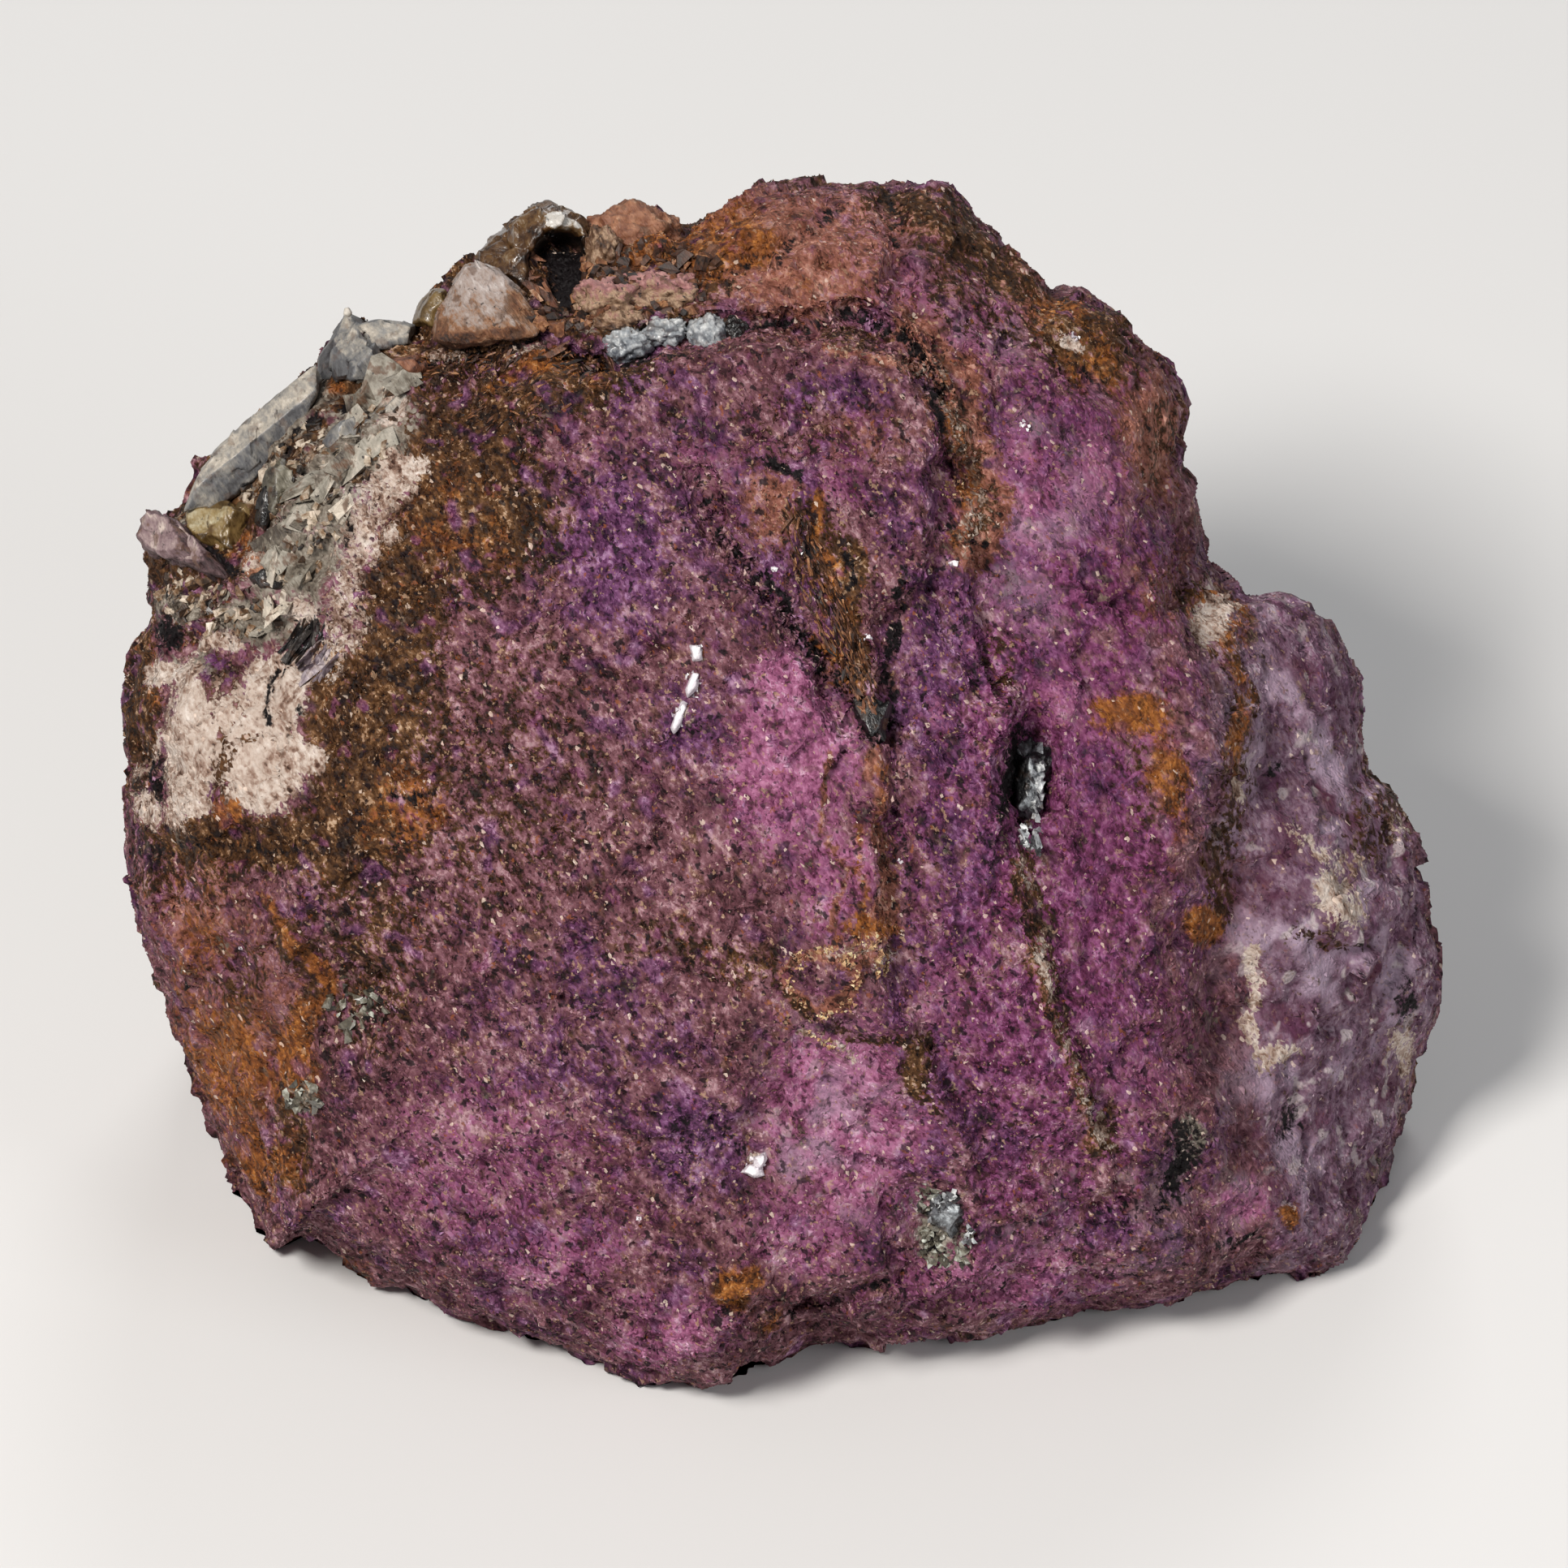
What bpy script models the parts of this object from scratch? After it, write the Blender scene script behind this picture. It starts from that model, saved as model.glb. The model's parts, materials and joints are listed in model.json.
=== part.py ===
"""Purpurite specimen: one grown rock with ledges, pits, crystals and nodules fused in it.

The rock is drawn in a leaning picture plane. Right and up are measured in that plane from the
middle of the outline, and depth is measured from it towards the viewer, all in millimetres.
The plane leans back by VIEW_TILT, so the rock rests on a flat face at z = 0.
"""

import math

import bmesh
import bpy
import numpy as np
from mathutils import Vector

MM = 0.001

# Driving dimensions, in millimetres and degrees
VIEW_TILT = 38.0
MIDDLE_HEIGHT = 18.0
FRONT_DEPTH = 17.0
BACK_DEPTH = 27.0
BACK_LIP = 6.0
RESTING_SINK = 0.4
FACE_FALL_SIDEWAYS = 2.6
FACE_FALL_UPWARDS = 2.2
FACE_MIDDLE = (-6.0, -3.0)
FACE_REACH = (27.0, 25.0)
LEFT_FALL = 2.6
LEFT_FACE = (-18.5, -25.0)
FOOT = (-4.0, -19.0)

# How full the rock is towards its outline: 1 is a ball, less is blunter
FRONT_FULLNESS = 0.75
BACK_FULLNESS = 0.7
RIM_START = 0.72
RIM_BAND = 0.35
RELIEF_START = 0.5
OUTLINE_SMOOTHING = 12.0

# The ball that becomes the rock: times it is divided, and the triangles kept
BODY_DETAIL = 6
BODY_TRIANGLES = 7600

# Outline of the rock, clockwise from its top: (right, up)
OUTLINE = [
    (-1.0, 25.1), (0.9, 25.3), (3.7, 25.1), (4.3, 24.9), (5.9, 25.2), (7.1, 25.0),
    (8.0, 23.7), (9.6, 22.2), (11.2, 20.6), (12.4, 20.7), (13.9, 20.0), (15.1, 18.5),
    (16.1, 17.8), (16.6, 16.7), (16.9, 15.2), (16.5, 13.3), (17.1, 12.3), (17.5, 11.1),
    (17.7, 9.6), (18.5, 8.8), (19.2, 7.9), (21.0, 7.8), (22.8, 6.8), (24.1, 4.6),
    (24.4, 0.7), (25.7, -0.4), (26.6, -2.5), (27.0, -4.4), (27.8, -8.0), (27.6, -9.9),
    (26.9, -11.8), (25.1, -17.4), (24.5, -19.0), (23.7, -20.1), (22.5, -20.5), (19.0, -20.9),
    (18.4, -21.3), (12.7, -22.0), (9.8, -22.6), (8.1, -23.2), (2.3, -23.3), (1.1, -23.5),
    (-0.2, -24.4), (-2.4, -25.2), (-3.5, -25.4), (-5.5, -24.8), (-9.0, -23.8), (-13.9, -22.4),
    (-15.9, -21.1), (-19.9, -19.3), (-20.5, -19.1), (-21.4, -19.7), (-22.0, -19.3),
    (-22.5, -17.7), (-24.8, -13.0), (-26.5, -7.8), (-27.6, -1.5), (-27.4, 0.5), (-27.9, 3.3),
    (-26.7, 6.9), (-26.5, 8.6), (-26.8, 10.9), (-26.4, 11.2), (-25.5, 11.4), (-24.2, 13.4),
    (-20.9, 16.2), (-19.5, 17.4), (-18.4, 19.3), (-18.2, 19.7), (-17.7, 19.2), (-15.6, 19.2),
    (-14.6, 20.6), (-13.5, 21.7), (-12.6, 21.8), (-12.4, 22.4), (-11.1, 23.4), (-10.2, 23.9),
    (-8.0, 23.6), (-5.3, 24.0), (-4.7, 23.4), (-4.0, 23.4), (-1.9, 24.5),
]

# Terraces, each a region of the face that stands higher than what is right of it
NEAR_LOBE = [
    (-18.0, 14.0), (-12.8, 17.2), (-7.7, 16.7), (-5.4, 17.7), (-2.1, 18.3), (0.7, 18.6),
    (2.0, 19.5), (2.8, 18.6), (4.5, 17.7), (5.8, 16.3), (6.3, 15.0), (6.4, 11.2), (6.2, 8.4),
    (4.2, 7.0), (4.1, 2.0), (4.2, -8.0), (6.3, -11.4), (8.5, -17.0), (9.0, -40.0),
    (-40.0, -40.0), (-40.0, 8.0), (-24.0, 8.0),
]
MIDDLE_LOBE = [
    (-40.0, 40.0), (3.6, 40.0), (4.4, 21.3), (7.6, 15.0), (7.9, 9.0), (9.0, 3.0), (9.3, 0.2),
    (9.8, -2.9), (10.1, -5.9), (11.1, -7.7), (11.3, -9.6), (13.1, -14.8), (15.5, -18.0),
    (16.0, -40.0), (-40.0, -40.0),
]
FRONT_RIGHT = [
    (-40.0, 40.0), (12.0, 40.0), (15.6, 13.3), (17.0, 11.2), (17.9, 7.0), (17.7, 2.2),
    (18.1, -2.9), (18.6, -8.0), (17.6, -13.0), (17.1, -17.0), (19.0, -20.0), (19.5, -40.0),
    (-40.0, -40.0),
]

# Region, rise, half width of its edge, and share of the rise that is left at the foot
TERRACES = [
    (NEAR_LOBE, 1.7, 0.9, 0.25), (MIDDLE_LOBE, 1.3, 0.9, 0.2), (FRONT_RIGHT, 3.2, 1.3, 1.0),
]
TERRACES_RUN_OUT = (-17.0, -9.0)
FAR_LOBE_SET_BACK = 3.0
FAR_LOBE_EDGE = (15.0, 21.0)

# Cracks and creases: points, half width, depth
CRACKS = [
    ([(-3.1, 10.7), (-1.9, 8.9), (0.1, 6.8), (1.8, 4.9), (2.4, 3.3), (4.1, 2.0)], 0.45, 0.8),
    ([(-9.0, 17.6), (-7.5, 17.2), (-5.4, 18.2), (-2.1, 18.9), (0.7, 19.1), (3.0, 19.6),
      (5.0, 18.2), (6.6, 16.2)], 0.55, 1.1),
    ([(-2.9, -22.2), (-1.8, -21.9), (-0.6, -21.8), (0.3, -22.2), (4.0, -20.6), (5.9, -20.5)],
     0.35, 0.8),
    ([(-27.0, -2.9), (-23.0, -2.6), (-19.3, -2.8)], 0.6, 0.6),
    ([(-2.8, 21.1), (-0.1, 22.1), (2.2, 23.9)], 0.4, 0.7),
    ([(4.4, 24.8), (5.0, 21.4)], 0.4, 0.7),
    ([(4.3, 2.0), (4.5, -2.0), (4.4, -8.0)], 0.5, 0.6),
    ([(12.9, -18.0), (14.0, -17.3), (15.0, -17.9)], 0.4, 0.6),
    ([(-14.8, 17.3), (-12.4, 17.8), (-9.9, 18.3)], 0.4, 0.8),
    ([(7.1, 6.8), (8.1, 3.6)], 0.5, 0.5),
]

# Pits and lumps: right, up, half width, half height, turn in degrees, depth (minus for a pit)
PITS_AND_LUMPS = [
    (9.9, 0.3, 1.0, 2.9, -8.0, -2.4),
    (16.6, -15.4, 1.2, 2.3, -10.0, -1.3),
    (6.4, -18.5, 1.5, 1.9, 25.0, -0.9),
    (12.4, 17.9, 2.2, 1.6, -20.0, -1.0),
    (-25.3, 6.0, 0.9, 0.9, 0.0, -0.8),
    (-19.7, 5.6, 1.1, 1.2, 30.0, -0.9),
    (-26.0, 0.2, 0.9, 1.4, 0.0, -0.7),
    (-17.4, -9.3, 1.5, 1.7, 20.0, -0.6),
    (21.5, 0.3, 1.2, 1.0, 0.0, -0.7),
    (21.5, -14.2, 1.3, 1.6, 0.0, -0.8),
    (1.6, 7.2, 1.9, 3.6, 20.0, -0.6),
    (8.8, 1.0, 0.9, 3.4, -6.0, 0.8),
    (2.2, -6.8, 2.4, 2.0, 20.0, 0.6),
    (-23.8, 1.6, 2.9, 2.8, 0.0, 0.5),
    (0.5, 1.4, 2.2, 3.4, -12.0, 0.6),
    (-20.4, -5.4, 1.0, 3.2, -8.0, 0.8),
    (5.2, 13.6, 0.9, 3.6, 8.0, 0.6),
    (18.0, 6.6, 1.4, 1.4, 0.0, 0.7),
    (12.8, 10.0, 3.2, 4.4, 10.0, 0.6),
    (22.5, -6.0, 2.6, 3.4, 0.0, 0.8),
    (-9.0, -14.0, 5.0, 4.0, 20.0, 0.5),
    (-6.0, 8.0, 4.6, 4.2, 0.0, 0.5),
]

# Flat-faced crystals: name, rise of the face, thickness, and the face's corners (right, up, fall)
CRYSTALS = [
    ("frosted_wedge", 1.7, 4.0, [
        (-14.5, 18.1, 0.0), (-14.5, 20.5, 0.2), (-13.3, 21.8, 0.4), (-12.3, 21.5, 0.1),
        (-9.9, 19.7, 1.3), (-9.8, 18.7, 1.3), (-10.6, 18.3, 0.1), (-11.1, 19.9, 0.0)]),
    ("pale_shard", 1.1, 3.6, [
        (-26.9, 10.9, 0.6), (-26.4, 11.3, 0.6), (-25.2, 11.1, 0.3), (-22.9, 8.3, 0.2),
        (-23.8, 8.0, 0.5), (-26.5, 8.9, 0.9), (-24.9, 10.0, 0.0)]),
    ("grey_tip", 1.1, 3.2, [
        (-18.1, 19.7, 0.8), (-19.5, 17.4, 0.9), (-16.9, 16.9, 0.0), (-17.7, 19.2, 0.1),
        (-15.4, 19.2, 0.3), (-15.2, 18.3, 0.2), (-18.0, 18.5, 0.0)]),
    ("grey_plate", 0.6, 2.8, [
        (-25.5, 11.2, 1.0), (-24.2, 13.4, 1.0), (-20.9, 16.2, 1.0), (-19.5, 17.5, 0.8),
        (-24.4, 11.7, 0.0), (-22.9, 13.3, 0.0), (-20.4, 15.8, 0.0), (-19.2, 16.6, 0.3),
        (-20.6, 14.0, 0.4), (-23.2, 11.3, 0.4)]),
    ("yellow_crystal", 1.1, 2.8, [
        (-24.6, 11.5, 0.5), (-23.2, 11.7, 0.5), (-21.9, 10.9, 0.3), (-22.2, 9.6, 0.3),
        (-23.4, 8.9, 0.4), (-24.3, 10.2, 0.4), (-23.3, 10.6, 0.0)]),
]
CRYSTAL_ROOT = 0.8

# Nodules on the top edge: right, up, half width, half height, rise above the face
NODULES = [
    (-10.3, 21.6, 2.2, 2.2, 1.0),
    (-6.5, 22.6, 1.9, 1.5, 0.6),
    (-6.1, 20.0, 2.7, 1.2, 0.8),
    (-6.6, 18.2, 0.85, 0.75, 0.8),
    (-4.9, 18.7, 0.9, 0.7, 0.9),
    (-3.2, 18.7, 0.75, 0.9, 1.0),
    (-1.9, 18.9, 0.65, 0.8, 0.7),
    (-21.3, 11.6, 0.6, 1.2, 0.7),
]
NODULE_ROOT = 0.6

# Hollow in the first nodule: right, up, half width, half height, half depth, rise
CAVITY = (-9.35, 21.2, 0.95, 1.5, 2.3, 0.9)

# Broken flat faces at the back: slope right, slope up, depth under the middle
BACK_FACES = [
    (0.06, 0.55, -25.0), (0.80, 0.35, -29.5), (-0.70, 0.50, -29.0), (0.30, 1.05, -30.0),
    (-0.35, 1.25, -34.0), (1.20, -0.10, -37.0),
]

# Waves over the whole rock: size, height, seed
WAVES = [(9.0, 0.75, 11), (4.0, 0.45, 12), (2.0, 0.2, 13)]
RIM_WAVE_SHARE = 0.35

BODY_COLOUR = (0.16, 0.065, 0.14, 1.0)
BODY_ROUGHNESS = 0.85


def smooth_step(low, high, value):
    """Rises from 0 at low to 1 at high."""
    share = np.clip((value - low) / (high - low), 0.0, 1.0)
    return share * share * (3.0 - 2.0 * share)


def wave_noise(points, seed):
    """Gradient noise of the points, about -0.7 to 0.7, from a shuffled table of directions."""
    chance = np.random.default_rng(seed)
    slopes = chance.normal(size=(256, 3))
    slopes /= np.linalg.norm(slopes, axis=1)[:, None]
    shuffle = chance.permutation(256)
    cell = np.floor(points).astype(int)
    local = points - cell
    fade = local ** 3 * (local * (local * 6.0 - 15.0) + 10.0)
    total = np.zeros(len(points))
    for corner in np.ndindex(2, 2, 2):
        key = cell + corner
        row = shuffle[(shuffle[(shuffle[key[:, 0] & 255] + key[:, 1]) & 255] + key[:, 2]) & 255]
        share = np.where(np.array(corner) == 1, fade, 1.0 - fade).prod(axis=1)
        total += share * (slopes[row] * (local - corner)).sum(axis=1)
    return total


def path_distance(right, up, path):
    """Distance from each place to a chain of straight stretches."""
    nearest = np.full(right.shape, np.inf)
    for (right_a, up_a), (right_b, up_b) in zip(path[:-1], path[1:]):
        run_right = right_b - right_a
        run_up = up_b - up_a
        along = (right - right_a) * run_right + (up - up_a) * run_up
        share = np.clip(along / (run_right ** 2 + run_up ** 2), 0.0, 1.0)
        away = np.hypot(right - right_a - share * run_right, up - up_a - share * run_up)
        nearest = np.minimum(nearest, away)
    return nearest


def inside_distance(right, up, region):
    """Distance to the edge of a closed region, positive inside it."""
    inside = np.zeros(right.shape, dtype=bool)
    closed = region + region[:1]
    for (right_a, up_a), (right_b, up_b) in zip(closed[:-1], closed[1:]):
        if up_a == up_b:
            continue
        crossing = (right_b - right_a) * (up - up_a) / (up_b - up_a) + right_a
        inside ^= ((up_a > up) != (up_b > up)) & (right < crossing)
    distance = path_distance(right, up, closed)
    return np.where(inside, distance, -distance)


def outline_radius(angle):
    """Radius of the outline, and of the outline smoothed to each side."""
    points = np.array(OUTLINE)
    angles = np.arctan2(points[:, 1], points[:, 0])
    order = np.argsort(angles)
    radii = np.hypot(points[:, 0], points[:, 1])[order]
    sharp = np.interp(angle, angles[order], radii, period=2.0 * math.pi)
    steps = np.radians(np.linspace(-OUTLINE_SMOOTHING, OUTLINE_SMOOTHING, 9))
    turned = [np.interp(angle + step, angles[order], radii, period=2.0 * math.pi) for step in steps]
    return sharp, np.mean(turned, axis=0)


def resting_depth(up):
    """Depth at which the resting plane is met, at a height up in the picture plane."""
    lean = math.radians(VIEW_TILT)
    return -(MIDDLE_HEIGHT + up * math.cos(lean)) / math.sin(lean)


def middle_depth(right, up):
    """Depth of the outline: set back at the far lobe, and on the resting plane at the foot."""
    depth = -FAR_LOBE_SET_BACK * smooth_step(FAR_LOBE_EDGE[0], FAR_LOBE_EDGE[1], right)
    foot = resting_depth(up) - RESTING_SINK
    share = smooth_step(FOOT[0], FOOT[1], up)
    return depth * (1.0 - share) + foot * share


def face_relief(right, up):
    """Terraces, cracks, pits and lumps of the face, in millimetres towards the viewer."""
    above_foot = smooth_step(TERRACES_RUN_OUT[0], TERRACES_RUN_OUT[1], up)
    relief = np.zeros(right.shape)
    for region, rise, edge, foot_share in TERRACES:
        inside = smooth_step(-edge, edge, inside_distance(right, up, region))
        relief += rise * inside * (foot_share + (1.0 - foot_share) * above_foot)
    for path, half_width, depth in CRACKS:
        relief -= depth * np.exp(-(path_distance(right, up, path) / half_width) ** 2)
    for centre_right, centre_up, half_width, half_height, turn, height in PITS_AND_LUMPS:
        swing = math.radians(turn)
        across = (right - centre_right) * math.cos(swing) + (up - centre_up) * math.sin(swing)
        along = (up - centre_up) * math.cos(swing) - (right - centre_right) * math.sin(swing)
        share = (across / half_width) ** 2 + (along / half_height) ** 2
        relief += height * np.exp(-share ** 1.5)
    return relief


def face_depth(right, up, rim_depth, level):
    """Depth of the front, for places whose level is 0 on the outline and 1 in the middle."""
    dome = FRONT_DEPTH - sum(rise for region, rise, edge, foot_share in TERRACES)
    dome -= FACE_FALL_SIDEWAYS * ((right - FACE_MIDDLE[0]) / FACE_REACH[0]) ** 2
    dome -= FACE_FALL_UPWARDS * ((up - FACE_MIDDLE[1]) / FACE_REACH[1]) ** 2
    dome -= LEFT_FALL * smooth_step(LEFT_FACE[0], LEFT_FACE[1], right)
    relief = face_relief(right, up) * smooth_step(0.0, RELIEF_START, level)
    share = level ** FRONT_FULLNESS
    return rim_depth * (1.0 - share) + dome * share + relief


def back_depth(right, up, rim_depth, level):
    """Depth of the back: a rounded form broken off along flat faces."""
    share = level ** BACK_FULLNESS
    depth = rim_depth * (1.0 - share) - BACK_DEPTH * share
    for slope_right, slope_up, middle in BACK_FACES:
        flat = middle + slope_right * right + slope_up * up
        depth = np.maximum(depth, np.minimum(flat, rim_depth - BACK_LIP * share))
    return depth


def rock_points(directions):
    """Places in the picture plane's axes for unit directions (right, up, towards the viewer)."""
    angle = np.arctan2(directions[:, 1], directions[:, 0])
    spread = np.hypot(directions[:, 0], directions[:, 1])
    sharp, smooth = outline_radius(angle)
    rim = smooth_step(RIM_START, 1.0, spread)
    radius = spread * (smooth * (1.0 - rim) + sharp * rim)
    right = radius * np.cos(angle)
    up = radius * np.sin(angle)
    rim_depth = middle_depth(sharp * np.cos(angle), sharp * np.sin(angle))
    level = np.clip(directions[:, 2], -1.0, 1.0)
    front = face_depth(right, up, rim_depth, np.clip(level, 0.0, 1.0))
    back = back_depth(right, up, rim_depth, np.clip(-level, 0.0, 1.0))
    depth = np.where(level > 0.0, front, back)
    points = np.column_stack([right, up, depth])
    return points + directions * waves(points, directions)[:, None]


def waves(points, directions):
    """Lumps and hollows of several sizes, weaker on the outline."""
    rim = smooth_step(RIM_BAND, 0.0, np.abs(directions[:, 2]))
    height = np.zeros(len(points))
    for size, rise, seed in WAVES:
        height += rise * wave_noise(points / size, seed)
    return height * (1.0 - (1.0 - RIM_WAVE_SHARE) * rim)


def to_world(points):
    """Turns picture-plane places into metres in the part's own frame, before it is centred."""
    lean = math.radians(VIEW_TILT)
    right, up, depth = np.asarray(points, dtype=float).reshape(-1, 3).T
    forward = up * math.sin(lean) - depth * math.cos(lean)
    height = MIDDLE_HEIGHT + up * math.cos(lean) + depth * math.sin(lean)
    return np.column_stack([right, forward, height]) * MM


def surface_depth(right, up):
    """Depths of the front at one place or several in the picture plane."""
    right = np.atleast_1d(right).astype(float)
    up = np.atleast_1d(up).astype(float)
    angle = np.arctan2(up, right)
    sharp, smooth = outline_radius(angle)
    spread = np.minimum(np.hypot(right, up) / np.minimum(sharp, smooth), 0.98)
    rim_depth = middle_depth(sharp * np.cos(angle), sharp * np.sin(angle))
    return face_depth(right, up, rim_depth, np.sqrt(1.0 - spread ** 2))


def new_object(name, mesh_builder):
    """Makes a mesh object from a filled bmesh."""
    mesh = bpy.data.meshes.new(name)
    bmesh.ops.recalc_face_normals(mesh_builder, faces=mesh_builder.faces)
    mesh_builder.to_mesh(mesh)
    mesh_builder.free()
    result = bpy.data.objects.new(name, mesh)
    bpy.context.scene.collection.objects.link(result)
    return result


def add_modifier(target, name, kind, **values):
    """Adds a modifier and sets its values."""
    modifier = target.modifiers.new(name, kind)
    for key, value in values.items():
        setattr(modifier, key, value)
    return modifier


def rock_body():
    """The body: a fine ball moved onto the rock's surface and cut flat where it rests."""
    ball = bmesh.new()
    bmesh.ops.create_icosphere(ball, subdivisions=BODY_DETAIL, radius=1.0)
    directions = np.array([vertex.co[:] for vertex in ball.verts])
    directions /= np.linalg.norm(directions, axis=1)[:, None]
    places = to_world(rock_points(directions))
    for vertex, place in zip(ball.verts, places):
        vertex.co = place
    everything = ball.verts[:] + ball.edges[:] + ball.faces[:]
    cut = bmesh.ops.bisect_plane(
        ball, geom=everything, plane_co=(0.0, 0.0, 0.0), plane_no=(0.0, 0.0, 1.0),
        dist=0.00001, clear_inner=True)
    rim = [item for item in cut["geom_cut"] if isinstance(item, bmesh.types.BMEdge)]
    bmesh.ops.edgeloop_fill(ball, edges=rim)
    bmesh.ops.triangulate(ball, faces=ball.faces[:])
    triangles = len(ball.faces)
    body = new_object("specimen", ball)
    add_modifier(body, "fewer faces", "DECIMATE", ratio=BODY_TRIANGLES / triangles)
    return body


def crystal(name, rise, thickness, corners):
    """A crystal whose face leans as the rock does, its sides drawn in behind the face."""
    right, up, fall = np.array(corners).T
    inner_right = right.mean() + CRYSTAL_ROOT * (right - right.mean())
    inner_up = up.mean() + CRYSTAL_ROOT * (up - up.mean())
    depth = surface_depth(inner_right, inner_up)
    flat = np.column_stack([inner_right, inner_up, np.ones(len(right))])
    lean = np.linalg.lstsq(flat, depth, rcond=None)[0]
    face = lean[0] * right + lean[1] * up + lean[2] + rise
    front = np.column_stack([right, up, face - fall])
    back = np.column_stack([inner_right, inner_up, face - thickness])
    solid = bmesh.new()
    for place in to_world(np.vstack([front, back])):
        solid.verts.new(place)
    hull = bmesh.ops.convex_hull(solid, input=solid.verts[:])
    spare = [item for item in hull["geom_interior"] if isinstance(item, bmesh.types.BMVert)]
    bmesh.ops.delete(solid, geom=spare, context="VERTS")
    return new_object(name, solid)


def nodule(name, right, up, half_width, half_height, depth, half_depth):
    """A rounded lump or hollow, as an oval ball in the picture plane."""
    ball = bmesh.new()
    bmesh.ops.create_icosphere(ball, subdivisions=2, radius=1.0)
    scale = np.array([half_width, half_height, half_depth])
    places = np.array([vertex.co[:] for vertex in ball.verts]) * scale
    for vertex, place in zip(ball.verts, to_world(places + (right, up, depth))):
        vertex.co = place
    return new_object(name, ball)


def join_to(body, piece, operation):
    """Unites a piece with the body, or cuts it away, and hides the piece."""
    piece.hide_render = True
    piece.display_type = "WIRE"
    piece.parent = body
    add_modifier(body, piece.name, "BOOLEAN", object=piece, operation=operation, solver="EXACT")


def rock_material():
    """Dull, grainy purple with no metal in it."""
    material = bpy.data.materials.new("purpurite")
    material.use_nodes = True
    finish = material.node_tree.nodes["Principled BSDF"]
    finish.inputs["Base Color"].default_value = BODY_COLOUR
    finish.inputs["Roughness"].default_value = BODY_ROUGHNESS
    finish.inputs["Metallic"].default_value = 0.0
    return material


def centre(body):
    """Moves the rock so that the middle of its footprint's box is the origin."""
    shape = body.evaluated_get(bpy.context.evaluated_depsgraph_get())
    corners = [Vector(corner) for corner in shape.bound_box]
    low = Vector(min(corner[axis] for corner in corners) for axis in range(3))
    high = Vector(max(corner[axis] for corner in corners) for axis in range(3))
    body.location = (-(low.x + high.x) / 2.0, -(low.y + high.y) / 2.0, -low.z)


def build():
    for leftover in list(bpy.data.objects):
        bpy.data.objects.remove(leftover, do_unlink=True)
    body = rock_body()
    for name, rise, thickness, corners in CRYSTALS:
        join_to(body, crystal(name, rise, thickness, corners), "UNION")
    for index, (right, up, half_width, half_height, rise) in enumerate(NODULES, start=1):
        half_depth = min(half_width, half_height) + NODULE_ROOT
        depth = surface_depth(right, up)[0] + rise - half_depth
        lump = nodule(f"nodule_{index}", right, up, half_width, half_height, depth, half_depth)
        join_to(body, lump, "UNION")
    right, up, half_width, half_height, half_depth, rise = CAVITY
    hollow_depth = surface_depth(right, up)[0] + rise
    hollow = nodule("cavity", right, up, half_width, half_height, hollow_depth, half_depth)
    join_to(body, hollow, "DIFFERENCE")
    body.data.materials.append(rock_material())
    centre(body)


build()
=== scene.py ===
import json
import math

import bpy
import mathutils
import numpy as np
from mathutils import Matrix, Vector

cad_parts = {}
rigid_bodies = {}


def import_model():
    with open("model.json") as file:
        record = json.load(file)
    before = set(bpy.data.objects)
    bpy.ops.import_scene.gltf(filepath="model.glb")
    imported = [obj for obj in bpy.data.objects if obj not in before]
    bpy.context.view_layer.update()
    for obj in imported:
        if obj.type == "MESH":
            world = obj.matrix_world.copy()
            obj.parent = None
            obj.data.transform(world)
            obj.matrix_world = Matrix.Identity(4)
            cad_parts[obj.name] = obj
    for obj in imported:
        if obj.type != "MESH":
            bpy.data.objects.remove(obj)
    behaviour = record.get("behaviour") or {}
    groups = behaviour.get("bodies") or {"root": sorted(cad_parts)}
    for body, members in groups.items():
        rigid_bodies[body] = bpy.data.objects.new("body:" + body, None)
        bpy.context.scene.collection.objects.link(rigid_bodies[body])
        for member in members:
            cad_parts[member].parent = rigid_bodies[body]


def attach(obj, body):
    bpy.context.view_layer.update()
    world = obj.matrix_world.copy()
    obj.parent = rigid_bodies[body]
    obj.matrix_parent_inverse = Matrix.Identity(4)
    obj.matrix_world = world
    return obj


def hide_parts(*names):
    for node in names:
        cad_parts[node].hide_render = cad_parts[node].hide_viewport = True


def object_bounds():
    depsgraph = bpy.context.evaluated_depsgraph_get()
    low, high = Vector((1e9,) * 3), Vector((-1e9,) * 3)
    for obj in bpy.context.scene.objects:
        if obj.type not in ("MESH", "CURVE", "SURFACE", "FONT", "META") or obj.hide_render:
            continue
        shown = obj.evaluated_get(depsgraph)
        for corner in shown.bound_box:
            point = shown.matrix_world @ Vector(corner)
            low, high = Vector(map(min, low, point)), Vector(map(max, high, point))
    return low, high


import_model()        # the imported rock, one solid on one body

cadLow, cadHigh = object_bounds()
millimetre = 0.001
boxMargin = 0.01 * millimetre    # all pieces stay this far inside the solid's own box

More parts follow.
